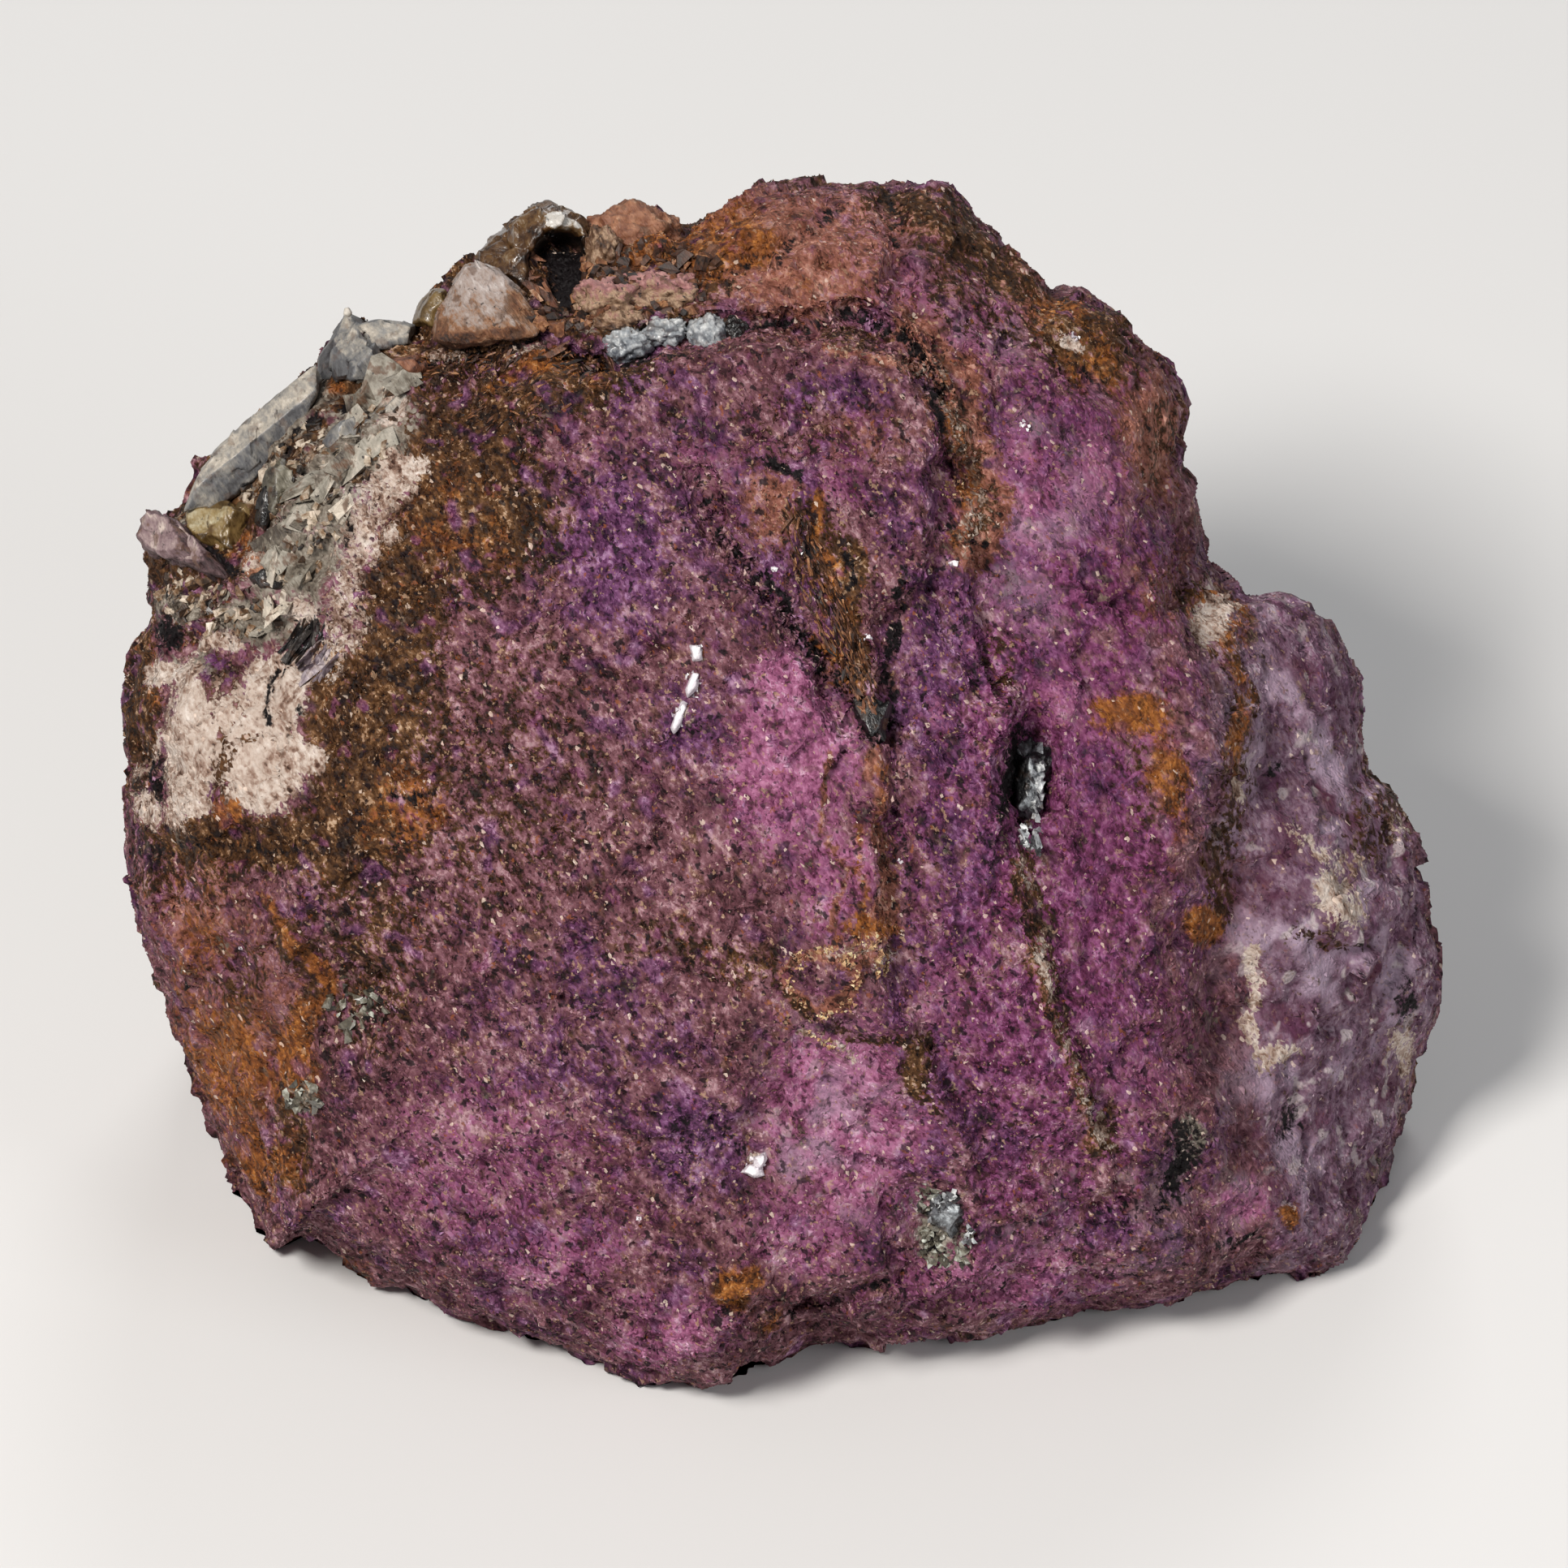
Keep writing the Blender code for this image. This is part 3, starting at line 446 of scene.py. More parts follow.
# Stains of the face, and painted shade in its hollows, cracks and gaps: ovals (strength, right, up,
# half width, half height, and the turn where there is one) and bands (points, half width, strength)
stainsAndShade = {
    "brown": ([
        (1.0, -13.2, 12.4, 4.0, 5.0, 35.0), (0.75, 8.2, 22.6, 4.0, 2.6, -30.0),
        (0.8, 12.6, 18.6, 2.6, 2.4, -30.0), (0.7, 1.6, 9.6, 1.4, 3.0, 24.0), (0.6, -17.2, -6.6, 2.6, 5.6),
        (0.42, -12.0, 0.0, 6.0, 8.0), (0.85, -9.6, 16.6, 5.0, 1.8, 10.0), (0.8, 5.8, -12.0, 0.7, 2.0, 10.0),
        (0.5, -3.0, -7.0, 5.0, 1.2, -12.0), (0.6, -24.6, 6.8, 2.4, 1.4), (0.4, 15.2, 1.0, 2.0, 4.0),
        (0.4, 16.2, 14.6, 1.8, 2.2), (0.8, -26.6, 2.0, 0.8, 4.4), (0.95, -10.3, 21.6, 2.6, 2.4),
        (0.8, -7.0, 19.8, 4.0, 2.4), (1.2, -21.4, -2.2, 6.6, 1.4), (1.3, -23.3, 1.3, 0.4, 1.1),
        (0.9, -22.4, 1.8, 2.6, 3.2), (0.7, -22.8, -9.4, 0.9, 3.2, -10.0), (0.6, -15.6, 1.0, 3.0, 5.0),
        (0.3, 0.6, 14.6, 3.0, 1.6), (0.5, 9.0, 4.6, 1.0, 1.6), (0.5, 25.2, -1.6, 1.6, 2.0),
        (0.55, 22.6, -6.4, 1.5, 0.5), (0.9, -18.8, 16.0, 1.5, 1.0, -40.0), (1.1, -23.2, 9.7, 1.7, 1.5),
        (1.0, -21.8, 12.4, 2.0, 1.4, -45.0), (1.2, -18.3, 16.8, 1.6, 1.2, -40.0),
        (0.8, -25.2, 7.4, 1.6, 1.4), (0.6, -26.2, -4.0, 1.2, 1.6), (0.5, -23.8, -4.2, 2.6, 1.6),
    ], [
        ([(-11.0, 16.0), (-13.6, 12.6), (-15.2, 9.6), (-16.0, 5.6), (-17.0, 1.0), (-17.8, -3.0)],
         2.0, 1.0),
        ([(-16.0, 17.4), (-12.0, 18.8), (-7.0, 21.0), (-3.4, 21.6)], 1.6, 0.9),
        ([(-26.0, 9.2), (-23.6, 11.4), (-20.0, 14.8), (-17.0, 17.0)], 2.0, 1.0),
        ([(2.0, 18.7), (4.6, 18.3), (6.6, 16.4), (7.0, 13.8)], 0.4, 0.6),
        ([(7.4, 15.6), (8.2, 13.6), (8.0, 10.2)], 0.7, 0.6),
        ([(-20.6, -6.0), (-19.4, -8.2), (-20.4, -12.0), (-20.6, -16.0)], 1.0, 0.7),
        ([(5.2, 24.6), (6.4, 21.0), (9.0, 19.0)], 1.2, 0.5),
        ([(17.0, 8.0), (19.2, 4.2), (18.8, 0.0), (17.6, -6.0)], 0.8, 0.6),
        ([(-18.9, 5.0), (-18.6, 2.0), (-18.8, -1.0)], 1.2, 1.0),
        ([(9.9, -3.0), (10.2, -6.0), (11.2, -7.8), (11.4, -9.6), (13.2, -14.8)], 0.6, 0.7),
        ([(-1.0, -7.4), (0.6, -9.0), (2.4, -10.2), (5.0, -10.4)], 0.35, 0.6),
        ([(2.6, 9.6), (3.0, 6.6), (3.7, 3.0)], 0.5, 0.9),
        ([(-28.0, 0.0), (-27.4, 6.0), (-27.0, 9.4), (-25.6, 12.6), (-22.0, 16.4), (-18.6, 19.4),
          (-15.0, 21.2), (-12.6, 23.4)], 1.2, 1.5),
        ([(4.4, 24.4), (7.4, 23.6), (9.6, 21.6), (11.6, 20.4)], 1.2, 0.75),
    ]),
    "orange": ([
        (0.75, -23.6, -11.6, 2.7, 3.6, 15.0), (0.45, -24.4, -6.4, 2.0, 2.6), (0.85, -20.2, -11.2, 1.0, 2.2),
        (1.0, -23.1, -0.9, 0.6, 0.8), (0.7, -22.0, -16.0, 2.0, 2.4), (1.0, 14.4, 2.8, 2.0, 1.1, -10.0),
        (0.8, 15.8, 0.2, 0.9, 2.2), (0.9, 17.0, -5.9, 1.0, 0.9), (0.5, 16.4, -2.4, 0.6, 1.4),
        (1.0, -1.8, -20.8, 1.0, 1.0), (0.5, -0.2, -22.0, 1.0, 0.6), (0.75, -2.0, 22.4, 2.2, 2.0),
        (0.4, 0.6, 20.8, 2.4, 0.9), (0.6, 12.6, 17.6, 1.6, 1.6), (0.6, 11.4, 19.8, 1.3, 1.2),
        (0.4, 2.6, 7.6, 0.45, 3.2, 18.0), (0.4, -13.4, 10.8, 2.4, 2.6, 30.0), (0.6, -15.8, -1.0, 1.8, 2.0),
        (0.7, -6.0, 22.8, 2.2, 1.2), (0.4, -5.6, 19.4, 2.6, 0.7), (0.8, 21.2, -17.9, 0.5, 0.5),
        (0.8, 7.2, 11.6, 0.6, 1.0), (0.9, -15.6, 17.0, 1.0, 0.6), (0.8, -21.2, 10.0, 0.6, 0.5),
        (0.55, -22.4, 10.0, 0.8, 0.8), (0.9, -18.6, 16.6, 0.5, 0.4), (0.6, -26.2, 4.4, 0.6, 1.6),
        (1.0, 3.5, -5.5, 0.35, 0.5, 30.0), (0.8, 2.4, -6.1, 0.22, 0.42), (0.5, 18.4, 6.6, 1.2, 1.8),
    ], [
        ([(-21.0, -5.0), (-19.0, -8.4), (-20.2, -11.6)], 0.45, 0.7),
        ([(1.3, 11.9), (1.5, 10.9), (1.3, 10.1), (2.1, 8.6), (1.6, 7.7), (1.7, 6.1), (2.5, 5.1), (3.4, 4.0)],
         0.26, 1.0),
        ([(6.4, 17.0), (7.4, 14.4), (7.4, 10.4)], 0.7, 0.45),
        ([(17.2, 7.6), (19.2, 4.2), (18.9, 1.0)], 0.5, 0.6),
        ([(-12.0, 16.4), (-9.4, 17.6), (-7.6, 16.8)], 0.5, 0.6),
        ([(3.8, 1.0), (3.9, -0.6)], 0.3, 0.6), ([(3.2, -1.6), (2.9, -3.6), (3.5, -5.4)], 0.25, 0.6),
        ([(2.8, -5.6), (4.2, -6.2)], 0.3, 0.7), ([(-1.2, -8.5), (0.0, -9.6)], 0.45, 0.6),
    ]),
    "cream": ([
        (2.4, -24.6, 1.4, 0.84, 2.5), (1.3, -24.8, -0.9, 1.1, 0.7), (1.3, -21.4, 0.7, 1.9, 1.5, 20.0),
        (1.3, -26.0, 4.6, 0.8, 0.5, 10.0), (1.2, -19.9, 1.0, 0.9, 0.7), (0.72, -22.9, 3.0, 1.1, 1.3),
        (0.8, -26.3, 1.3, 0.35, 1.0, -25.0), (1.1, -23.3, 5.6, 1.3, 0.45, 12.0),
        (1.1, -25.0, 4.5, 0.9, 0.6), (0.8, -20.0, 7.2, 1.0, 0.8), (1.4, -21.1, 3.6, 1.3, 1.9, -8.0),
        (0.5, -22.6, 1.2, 1.4, 1.4), (0.95, -15.7, 12.9, 0.9, 0.8), (0.9, -3.6, 5.4, 0.2, 0.3),
        (0.9, -3.8, 4.1, 0.2, 0.5, 20.0), (0.9, -4.4, 2.8, 0.2, 0.5, 30.0),
        (0.9, -1.3, -15.7, 0.4, 0.3, 20.0), (0.9, -26.5, -0.9, 0.5, 0.9), (0.95, 17.8, 6.9, 0.8, 1.3),
        (0.85, 18.9, -0.3, 0.35, 0.9), (0.8, 23.2, -4.6, 1.0, 1.2), (0.8, 26.1, -11.4, 0.5, 1.8, 15.0),
        (0.6, 25.9, -1.8, 0.6, 0.8), (0.7, 4.0, -7.4, 0.3, 0.5), (0.5, 2.6, -6.6, 1.0, 0.35),
        (0.7, 21.2, -10.9, 1.0, 0.5), (1.0, 12.1, 18.6, 0.35, 0.3), (0.62, -17.3, 9.8, 1.3, 2.4, -25.0),
        (0.65, -17.9, 6.4, 0.9, 1.6), (0.7, -16.0, 10.4, 0.35, 1.0, -10.0), (0.5, -24.4, 8.0, 0.7, 0.9),
        (0.9, -16.2, 15.6, 0.6, 0.8, -40.0), (0.8, -22.0, 9.0, 0.6, 0.7), (0.4, 24.4, -18.0, 0.8, 0.8),
    ], [
        ([(-16.6, 12.2), (-17.6, 9.6), (-18.1, 7.0), (-18.9, 4.8)], 0.9, 0.6),
        ([(19.8, -6.9), (19.4, -10.0), (20.4, -11.6), (21.3, -11.0)], 0.35, 0.8),
        ([(-14.5, 17.4), (-9.8, 18.0)], 0.25, 0.6),
        ([(6.2, 17.4), (7.6, 14.6), (7.8, 11.4), (7.4, 9.4)], 0.8, 0.34),
        ([(20.6, -2.2), (22.6, -3.2), (24.4, -3.0)], 0.5, 0.5),
        ([(9.9, -3.0), (10.2, -6.0), (11.2, -7.8), (11.4, -9.6), (13.2, -14.8)], 0.22, 0.62),
        ([(2.0, 18.4), (3.3, 18.0), (5.5, 16.4)], 0.12, 0.5),
        ([(0.75, -10.1), (1.8, -10.5), (3.0, -11.5)], 0.18, 0.6),
    ]),
    "grey": ([
        (0.7, -25.0, 1.2, 0.7, 2.8), (0.6, -20.2, -12.9, 0.7, 0.7), (0.9, -16.4, 15.4, 0.8, 1.1, -40.0),
        (0.5, -5.0, 18.8, 3.2, 0.8), (0.75, 6.2, -18.4, 1.2, 1.6, -10.0),
        (0.6, 16.8, -15.0, 0.7, 1.5, -10.0), (0.95, -22.2, 6.9, 1.6, 1.1, 20.0),
        (0.9, -20.6, 8.6, 1.5, 1.5), (0.6, -24.6, 5.0, 1.2, 0.8), (0.75, -25.0, 7.2, 1.2, 0.7, 20.0),
    ], [
        ([(-16.6, 15.0), (-18.0, 13.2), (-19.0, 11.4), (-20.0, 9.4), (-21.0, 7.6)], 1.9, 0.8),
        ([(-25.4, 10.6), (-22.6, 13.0), (-19.6, 15.8)], 1.4, 0.6),
    ]),
    "pink": ([
        (1.0, 0.4, 0.8, 3.0, 3.8), (1.0, 0.0, 4.6, 1.4, 1.4), (0.5, 3.0, 19.6, 2.6, 2.2),
        (0.55, 7.6, 19.0, 2.4, 2.6, 20.0), (0.8, 2.2, 22.2, 2.6, 2.6), (0.6, 13.0, 13.4, 1.6, 2.2),
        (0.7, 19.4, -17.6, 2.0, 1.1), (0.85, 2.4, -13.6, 3.8, 4.8, 10.0), (0.7, 2.0, -3.6, 2.2, 2.6),
        (0.8, -5.0, -22.8, 3.4, 1.8, 10.0), (0.5, 11.6, 3.6, 2.0, 1.2), (0.6, 9.8, 12.0, 2.2, 3.6),
        (0.6, 4.6, 20.6, 3.4, 1.2, -15.0), (0.8, -6.0, 20.9, 1.8, 0.4), (0.5, 6.6, -9.6, 1.4, 3.0),
        (0.45, -3.4, 13.2, 1.6, 1.4), (0.65, 9.6, -20.6, 5.0, 1.8), (0.5, -13.0, -15.4, 5.0, 4.0, 20.0),
        (0.6, 0.6, -18.6, 3.0, 2.2), (0.5, 1.8, 12.6, 1.2, 1.6), (0.5, 12.4, 12.0, 1.0, 1.2),
        (0.6, -9.6, -20.0, 4.0, 2.0, 20.0), (0.4, 14.6, -12.0, 2.4, 3.0), (0.4, 6.4, 2.6, 0.8, 1.6),
    ], []),
    "violet": ([
        (0.9, -6.6, 9.6, 3.4, 3.8), (1.0, -11.8, 17.0, 0.9, 0.8), (0.75, 6.2, 4.6, 2.0, 5.6, -6.0),
        (0.35, 10.6, 13.0, 3.2, 4.6, 10.0), (0.75, -3.4, -15.0, 2.4, 2.6), (0.6, 7.0, -3.0, 2.0, 4.0),
        (1.2, -23.5, 4.5, 0.9, 0.42, 12.0), (0.6, 17.2, -5.0, 1.4, 3.0), (0.7, 1.8, 16.2, 2.4, 1.4),
        (0.5, 14.6, -18.6, 4.0, 1.6), (0.5, -10.0, -11.6, 4.6, 3.6), (0.6, -4.0, 2.6, 2.2, 3.2),
        (0.7, -25.4, 7.8, 1.0, 0.6), (0.5, -24.8, -4.4, 2.0, 1.0), (0.5, -5.4, -10.4, 2.6, 2.0),
        (0.6, 23.8, -15.0, 3.0, 3.6), (0.6, -1.0, 9.6, 1.8, 2.4), (0.5, 4.8, 11.6, 1.4, 2.8),
        (0.5, 6.4, -14.6, 2.4, 2.4), (0.6, -17.2, 14.4, 0.5, 0.5),
    ], []),
    "clay": ([
        (0.85, 0.4, 22.0, 5.0, 3.6), (0.9, 15.4, 14.8, 1.9, 3.0), (0.65, -24.4, -4.6, 2.8, 2.6),
        (1.0, -22.0, 9.5, 1.1, 0.9), (0.7, -0.6, 11.6, 1.6, 2.4, 20.0), (0.5, 7.6, 22.0, 3.0, 3.0),
        (0.45, -22.0, -9.0, 3.4, 5.6), (0.5, -4.4, 20.2, 3.0, 1.4), (0.4, 16.0, 8.0, 1.2, 2.4),
        (0.4, 3.2, 14.2, 2.4, 1.2), (0.6, 3.0, -6.8, 1.3, 0.9, 20.0),
    ], [
        ([(-5.4, 21.2), (-2.0, 20.4), (2.6, 20.4), (6.0, 19.2)], 1.3, 0.5),
        ([(4.6, 24.4), (7.4, 23.2), (9.4, 21.4), (11.6, 20.0)], 1.5, 0.9),
        ([(0.4, -8.1), (0.8, -7.0), (1.7, -6.7), (2.7, -7.1), (3.1, -8.1), (2.6, -9.2), (1.6, -9.4),
          (0.8, -9.0), (0.4, -8.1)], 0.26, 1.2),
        ([(3.5, 1.4), (3.9, -1.6), (4.1, -4.0), (3.8, -6.0)], 0.32, 1.0),
        ([(1.8, 1.0), (1.4, -1.8), (2.4, -3.6), (2.2, -5.6)], 0.22, 0.8),
        ([(5.0, 18.8), (7.2, 17.0), (8.2, 14.0), (8.1, 9.6)], 1.1, 1.1),
        ([(9.8, -3.0), (10.0, -6.0), (11.0, -7.8), (11.2, -9.6), (12.9, -14.6)], 0.4, 0.8),
        ([(2.0, 18.3), (3.3, 17.9), (5.4, 16.3), (6.0, 15.2)], 0.24, 1.0),
    ]),
    "plum": ([
        (0.75, 10.6, -1.0, 7.0, 24.0), (0.5, 5.0, -16.0, 6.0, 8.0), (0.45, 1.0, 12.4, 5.0, 5.0),
        (0.4, -10.0, -17.0, 8.0, 6.0),
    ], []),
    "veil": ([
        (1.1, 23.3, -6.0, 4.9, 15.0), (0.3, 10.4, 11.0, 2.6, 4.6), (0.35, 8.0, 18.6, 2.0, 2.0),
        (0.25, 13.4, -18.0, 5.0, 3.0), (0.5, 1.6, -14.4, 3.2, 4.2),
    ], []),
    # painted shade: the hole, the pits, the dome's cavity, crevices, cracks and the gaps between pieces,
    # darkened where shade falls
    "paintedShade": ([
        (1.0, 9.3, 0.6, 0.6, 2.6, -8.0), (0.62, 16.6, -15.4, 0.9, 1.9, -10.0), (0.9, 16.2, -16.2, 0.4, 0.8),
        (0.7, 15.9, -17.4, 0.3, 0.8), (0.85, 6.0, -19.0, 0.5, 0.8, 20.0), (0.8, -25.6, 6.1, 0.6, 0.7),
        (0.9, -19.75, 6.1, 0.6, 0.8, -35.0), (0.75, -26.2, 0.2, 0.45, 1.1), (0.95, 3.45, 2.6, 0.6, 0.9),
        (0.7, 19.0, -19.1, 1.4, 0.25), (0.6, 20.4, 0.6, 0.35, 0.35), (0.4, 23.6, -6.4, 0.6, 0.3, 10.0),
        (0.65, 26.0, -8.9, 0.6, 0.9), (0.6, 21.2, -14.1, 0.5, 0.8, -20.0), (1.0, 9.1, -20.7, 0.14, 0.14),
        (1.0, -24.7, -8.5, 0.12, 0.12), (0.95, -17.8, 15.6, 0.7, 0.5), (1.0, -20.0, 13.0, 0.2, 0.2),
        (1.0, -24.5, 11.4, 0.2, 0.2), (0.8, 2.9, 5.0, 0.22, 1.6, 12.0), (0.8, 1.2, 9.6, 0.22, 1.2, 30.0),
        (0.5, 12.4, 17.2, 1.2, 0.5, -20.0), (0.5, -3.9, 2.4, 0.5, 0.3, 20.0), (0.5, -1.8, -15.2, 0.5, 0.35),
        (1.0, -9.2, 21.0, 1.2, 1.5), (0.3, -3.4, -14.6, 1.6, 1.8), (0.45, 8.4, -2.4, 0.3, 1.4),
        (0.5, -17.0, -9.4, 0.8, 0.9), (0.6, -8.6, 17.4, 0.8, 0.3), (0.75, -5.4, 17.4, 2.2, 0.35, 5.0),
        (0.9, -16.0, 18.3, 0.6, 0.16, 10.0), (0.6, -15.6, -0.4, 1.0, 0.35, 10.0),
        (0.6, 7.4, 6.0, 0.25, 1.3, 14.0), (0.5, -16.0, -2.2, 0.5, 0.6),
    ], [
        ([(-25.3, 10.9), (-24.4, 10.3), (-23.5, 9.6), (-22.6, 8.7)], 0.24, 1.1),
        ([(0.2, 19.0), (2.8, 19.4), (4.9, 18.1), (6.3, 16.4), (6.6, 15.0)], 0.26, 0.9),
        ([(-20.9, 5.0), (-21.5, 3.6), (-21.6, 2.1)], 0.1, 0.85),
        ([(-20.1, 4.2), (-20.1, 1.9)], 0.12, 0.9),
        ([(-3.6, 12.5), (-2.7, 10.3), (-1.9, 9.2), (0.1, 6.8), (1.6, 5.1), (2.0, 3.9), (3.2, 2.7)],
         0.15, 0.95),
        ([(2.4, 9.6), (2.6, 8.2)], 0.14, 0.95), ([(-1.2, 13.8), (0.6, 12.9)], 0.3, 0.7),
        ([(5.1, 10.5), (6.9, 10.3), (8.6, 9.4)], 0.16, 0.6),
        ([(4.5, 9.0), (4.4, 5.6), (4.5, 2.0)], 0.22, 0.7),
        ([(4.6, 1.4), (4.7, -3.0), (4.6, -6.0)], 0.14, 0.45),
        ([(6.8, 15.6), (7.0, 12.4), (6.6, 9.4)], 0.16, 0.4),
        ([(-19.2, 15.2), (-20.4, 14.0), (-21.8, 12.4)], 0.22, 0.7),
        ([(-17.2, 12.8), (-17.9, 11.0), (-18.3, 9.0)], 0.12, 0.6),
        ([(-17.5, 15.0), (-17.2, 13.4)], 0.1, 0.8),
    ]),
    "smooth": ([
        (0.6, -23.2, -9.6, 3.6, 7.0), (1.2, -22.6, 2.0, 3.4, 3.4), (0.4, -0.2, 0.8, 1.7, 2.5),
        (0.8, 14.8, 14.6, 3.4, 5.0), (0.5, 7.4, 22.4, 4.0, 3.0), (0.95, 22.0, -6.0, 6.0, 16.0),
        (0.6, 0.6, 22.2, 4.6, 3.0), (0.4, 1.2, 0.4, 2.4, 4.0), (0.35, 2.4, -13.6, 3.4, 4.4),
        (0.6, 13.6, 4.0, 4.0, 14.0), (0.4, 9.6, 12.0, 2.6, 5.0),
    ], [
        ([(-16.2, 15.6), (-17.8, 13.4), (-19.0, 11.4), (-20.2, 9.0), (-21.4, 7.2)], 1.9, 0.95),
        ([(-25.4, 9.6), (-22.2, 12.6), (-18.4, 15.8)], 1.6, 0.8),
    ]),
}
stainWarp = [(3.2, 1.1, 31), (1.1, 0.4, 32)]    # size, reach, seed: bends the borders of the stains
stainEdge = 1.6                                 # power: how sharply a stain ends
farLobeTint = (16.4, 20.2, 0.12)    # where the right-hand lobe's own colour sets in, and its slope


def stainAndShadeWeights(right, up, points):
    # each stain's strength at each point, and the painted shade's, its borders bent by waves
    bentRight = right + sum(r * waveNoise(points / s, n) for s, r, n in stainWarp)
    bentUp = up + sum(r * waveNoise(points / s, n + 10) for s, r, n in stainWarp)
    weights = {}
    for name, (ovals, bands) in stainsAndShade.items():
        weight = np.zeros(right.shape)
        for strength, *oval in ovals:
            share = ovalShare(bentRight, bentUp, *oval)
            weight = np.maximum(weight, strength * np.exp(-share ** stainEdge))
        for path, halfWidth, strength in bands:
            share = (pathDistance(bentRight, bentUp, path) / halfWidth) ** 2
            weight = np.maximum(weight, strength * np.exp(-share ** stainEdge))
        weights[name] = weight
    low, high, slope = farLobeTint
    weights["far"] = smoothStep(low, high, bentRight + slope * up)
    return weights


body = {
    "frontCells": 280,            # cells across the face; the back has half as many
    "seamGap": 0.012,             # radians from the outline to the back's first ring
    "inset": 0.34,                # how far the surface lies under the tips of its grains
    "rimInset": 0.14,             # and how far on the outline
    "underShare": 0.985,          # how far the underside is drawn in
    "lip": 0.12,                  # how far the lowest edge of the face stays over the resting plane
    "flatBelow": 0.05,            # faces lower than this are shaded flat
    "chips": [(4.4, 0.06, 40), (2.4, 0.10, 41), (1.0, 0.10, 42)],    # size, tilt, seed
    "fineWaves": [(1.0, 0.16, 51), (0.55, 0.09, 52)],
    "splinters": (1.6, 7.6, 2.2, 4.4, 22.0, 0.5),    # oval of the splintery wedge, and height
    "splinterWaves": ((2.6, 0.55, 2.0), 61, 0.4),    # waves to a mm each way, seed, sink
    # the grey crust's run, its half width, and the size, tilt and seed of its facets
    "crust": ([(-16.6, 15.6), (-18.2, 13.0), (-20.0, 9.8), (-21.2, 7.6), (-23.6, 6.6)],
              1.9, 1.3, 0.34, 62),
}


def bodyPoints(front, back):
    # the rock's coarse form, then chips and waves pushed out along its own normals
    across, along, quads, ring = discGrid(front)
    backAcross, backAlong, backQuads, backRing = discGrid(back)
    lengths, turns = turnTable()
    turn = np.interp(np.hypot(across, along), lengths, turns)
    firstBack = math.pi / 2.0 - body["seamGap"]
    backTurn = np.interp(np.hypot(backAcross, backAlong), lengths, turns)
    backTurn = math.pi - backTurn * firstBack / (math.pi / 2.0)
    angle = np.concatenate([np.arctan2(along, across), np.arctan2(backAlong, backAcross)])
    turn = np.concatenate([turn, backTurn])
    directions = np.column_stack([
        np.sin(turn) * np.cos(angle), np.sin(turn) * np.sin(angle), np.cos(turn)])
    offset = len(across)
    coarse = backRing + offset
    nextCoarse = np.roll(coarse, -1)
    first, second, third = ring[0::2], ring[1::2], np.roll(ring, -2)[0::2]
    seam = np.vstack([
        np.column_stack([first, coarse, second]),
        np.column_stack([second, coarse, nextCoarse]),
        np.column_stack([second, nextCoarse, third])])
    quads = np.vstack([quads, backQuads[:, ::-1] + offset])
    points = rockPoints(directions)
    triangles = np.vstack([triangleSplit(quads), seam])
    normals = vertexNormals(points, triangles)
    fine = sum(rise * waveNoise(points / size, seed) for size, rise, seed in body["fineWaves"])
    for size, tilt, seed in body["chips"]:
        fine += size * tilt * chipNoise(points / size, seed)[0]
    onFace = directions[:, 2] > 0.0
    path, halfWidth, size, tilt, seed = body["crust"]
    crust = np.exp(-(pathDistance(points[:, 0], points[:, 1], path) / halfWidth) ** 4) * onFace
    fine += crust * size * tilt * chipNoise(points / size, seed)[0]
    *oval, height = body["splinters"]
    wedge = np.exp(-ovalShare(points[:, 0], points[:, 1], *oval) ** 2) * onFace
    perMillimetre, seed, sink = body["splinterWaves"]
    fine += wedge * height * (np.abs(waveNoise(points * perMillimetre, seed)) * 2.0 - sink)
    atRim = smoothStep(rock["rimBand"], 0.0, np.abs(directions[:, 2]))
    inset = body["inset"] + (body["rimInset"] - body["inset"]) * atRim
    points = points + normals * (fine - inset)[:, None]
    under = (points[:, 2] < restingDepth(points[:, 1])) & (directions[:, 2] < 0.0)
    points[under, :2] *= body["underShare"]
    points[:, 2] = np.maximum(points[:, 2], restingDepth(points[:, 1]) + body["lip"] * onFace)
    return points, directions, quads, seam


stainAndShadeLayers = {
    # each colour attribute of the rock: the four stains that it carries; the second carries the painted shade
    # among them
    "stainOne": ("brown", "orange", "cream", "grey"),
    "stainAndShadeTwo": ("pink", "violet", "paintedShade", "far"),
    "stainThree": ("clay", "smooth", "plum", "veil"),
}


# Patches of the back: strength, the wave's heights between which they set in, size, seed
backPatches = {
    "brown": (0.85, -0.05, 0.35, 7.0, 71),
    "orange": (0.8, 0.2, 0.5, 5.0, 72),
    "violet": (0.7, 0.0, 0.4, 6.0, 73),
}
backBlend = (-0.1, 0.25)      # where the face's stains give way to the back's, from behind to front
crackShade = (0.8, 0.6)       # strength of the dark line in a crack, and its share of the crack's width


def bodyStainsAndShade(points, directions):
    # the stains at each point: named ones on the face, patches from waves behind; painted shade in the
    # hollows and along the cracks
    right, up = points[:, 0], points[:, 1]
    weights = stainAndShadeWeights(right, up, points)
    facing = smoothStep(*backBlend, directions[:, 2])
    behind = 1.0 - facing
    patches = {
        name: strength * smoothStep(low, high, waveNoise(points / size, seed))
        for name, (strength, low, high, size, seed) in backPatches.items()}
    # painted shade along each crack
    for path, halfWidth, depth in cracks:
        near = pathDistance(*bentPlaces(right, up, hollowBend), path)
        line = crackShade[0] * min(depth, 1.0) * np.exp(-(near / halfWidth / crackShade[1]) ** 2)
        weights["paintedShade"] = np.maximum(weights["paintedShade"], line)
    for name in weights:
        weights[name] = weights[name] * facing + behind * patches.get(name, 0.0)
    return {layer: np.column_stack([weights[name] for name in names])
            for layer, names in stainAndShadeLayers.items()}


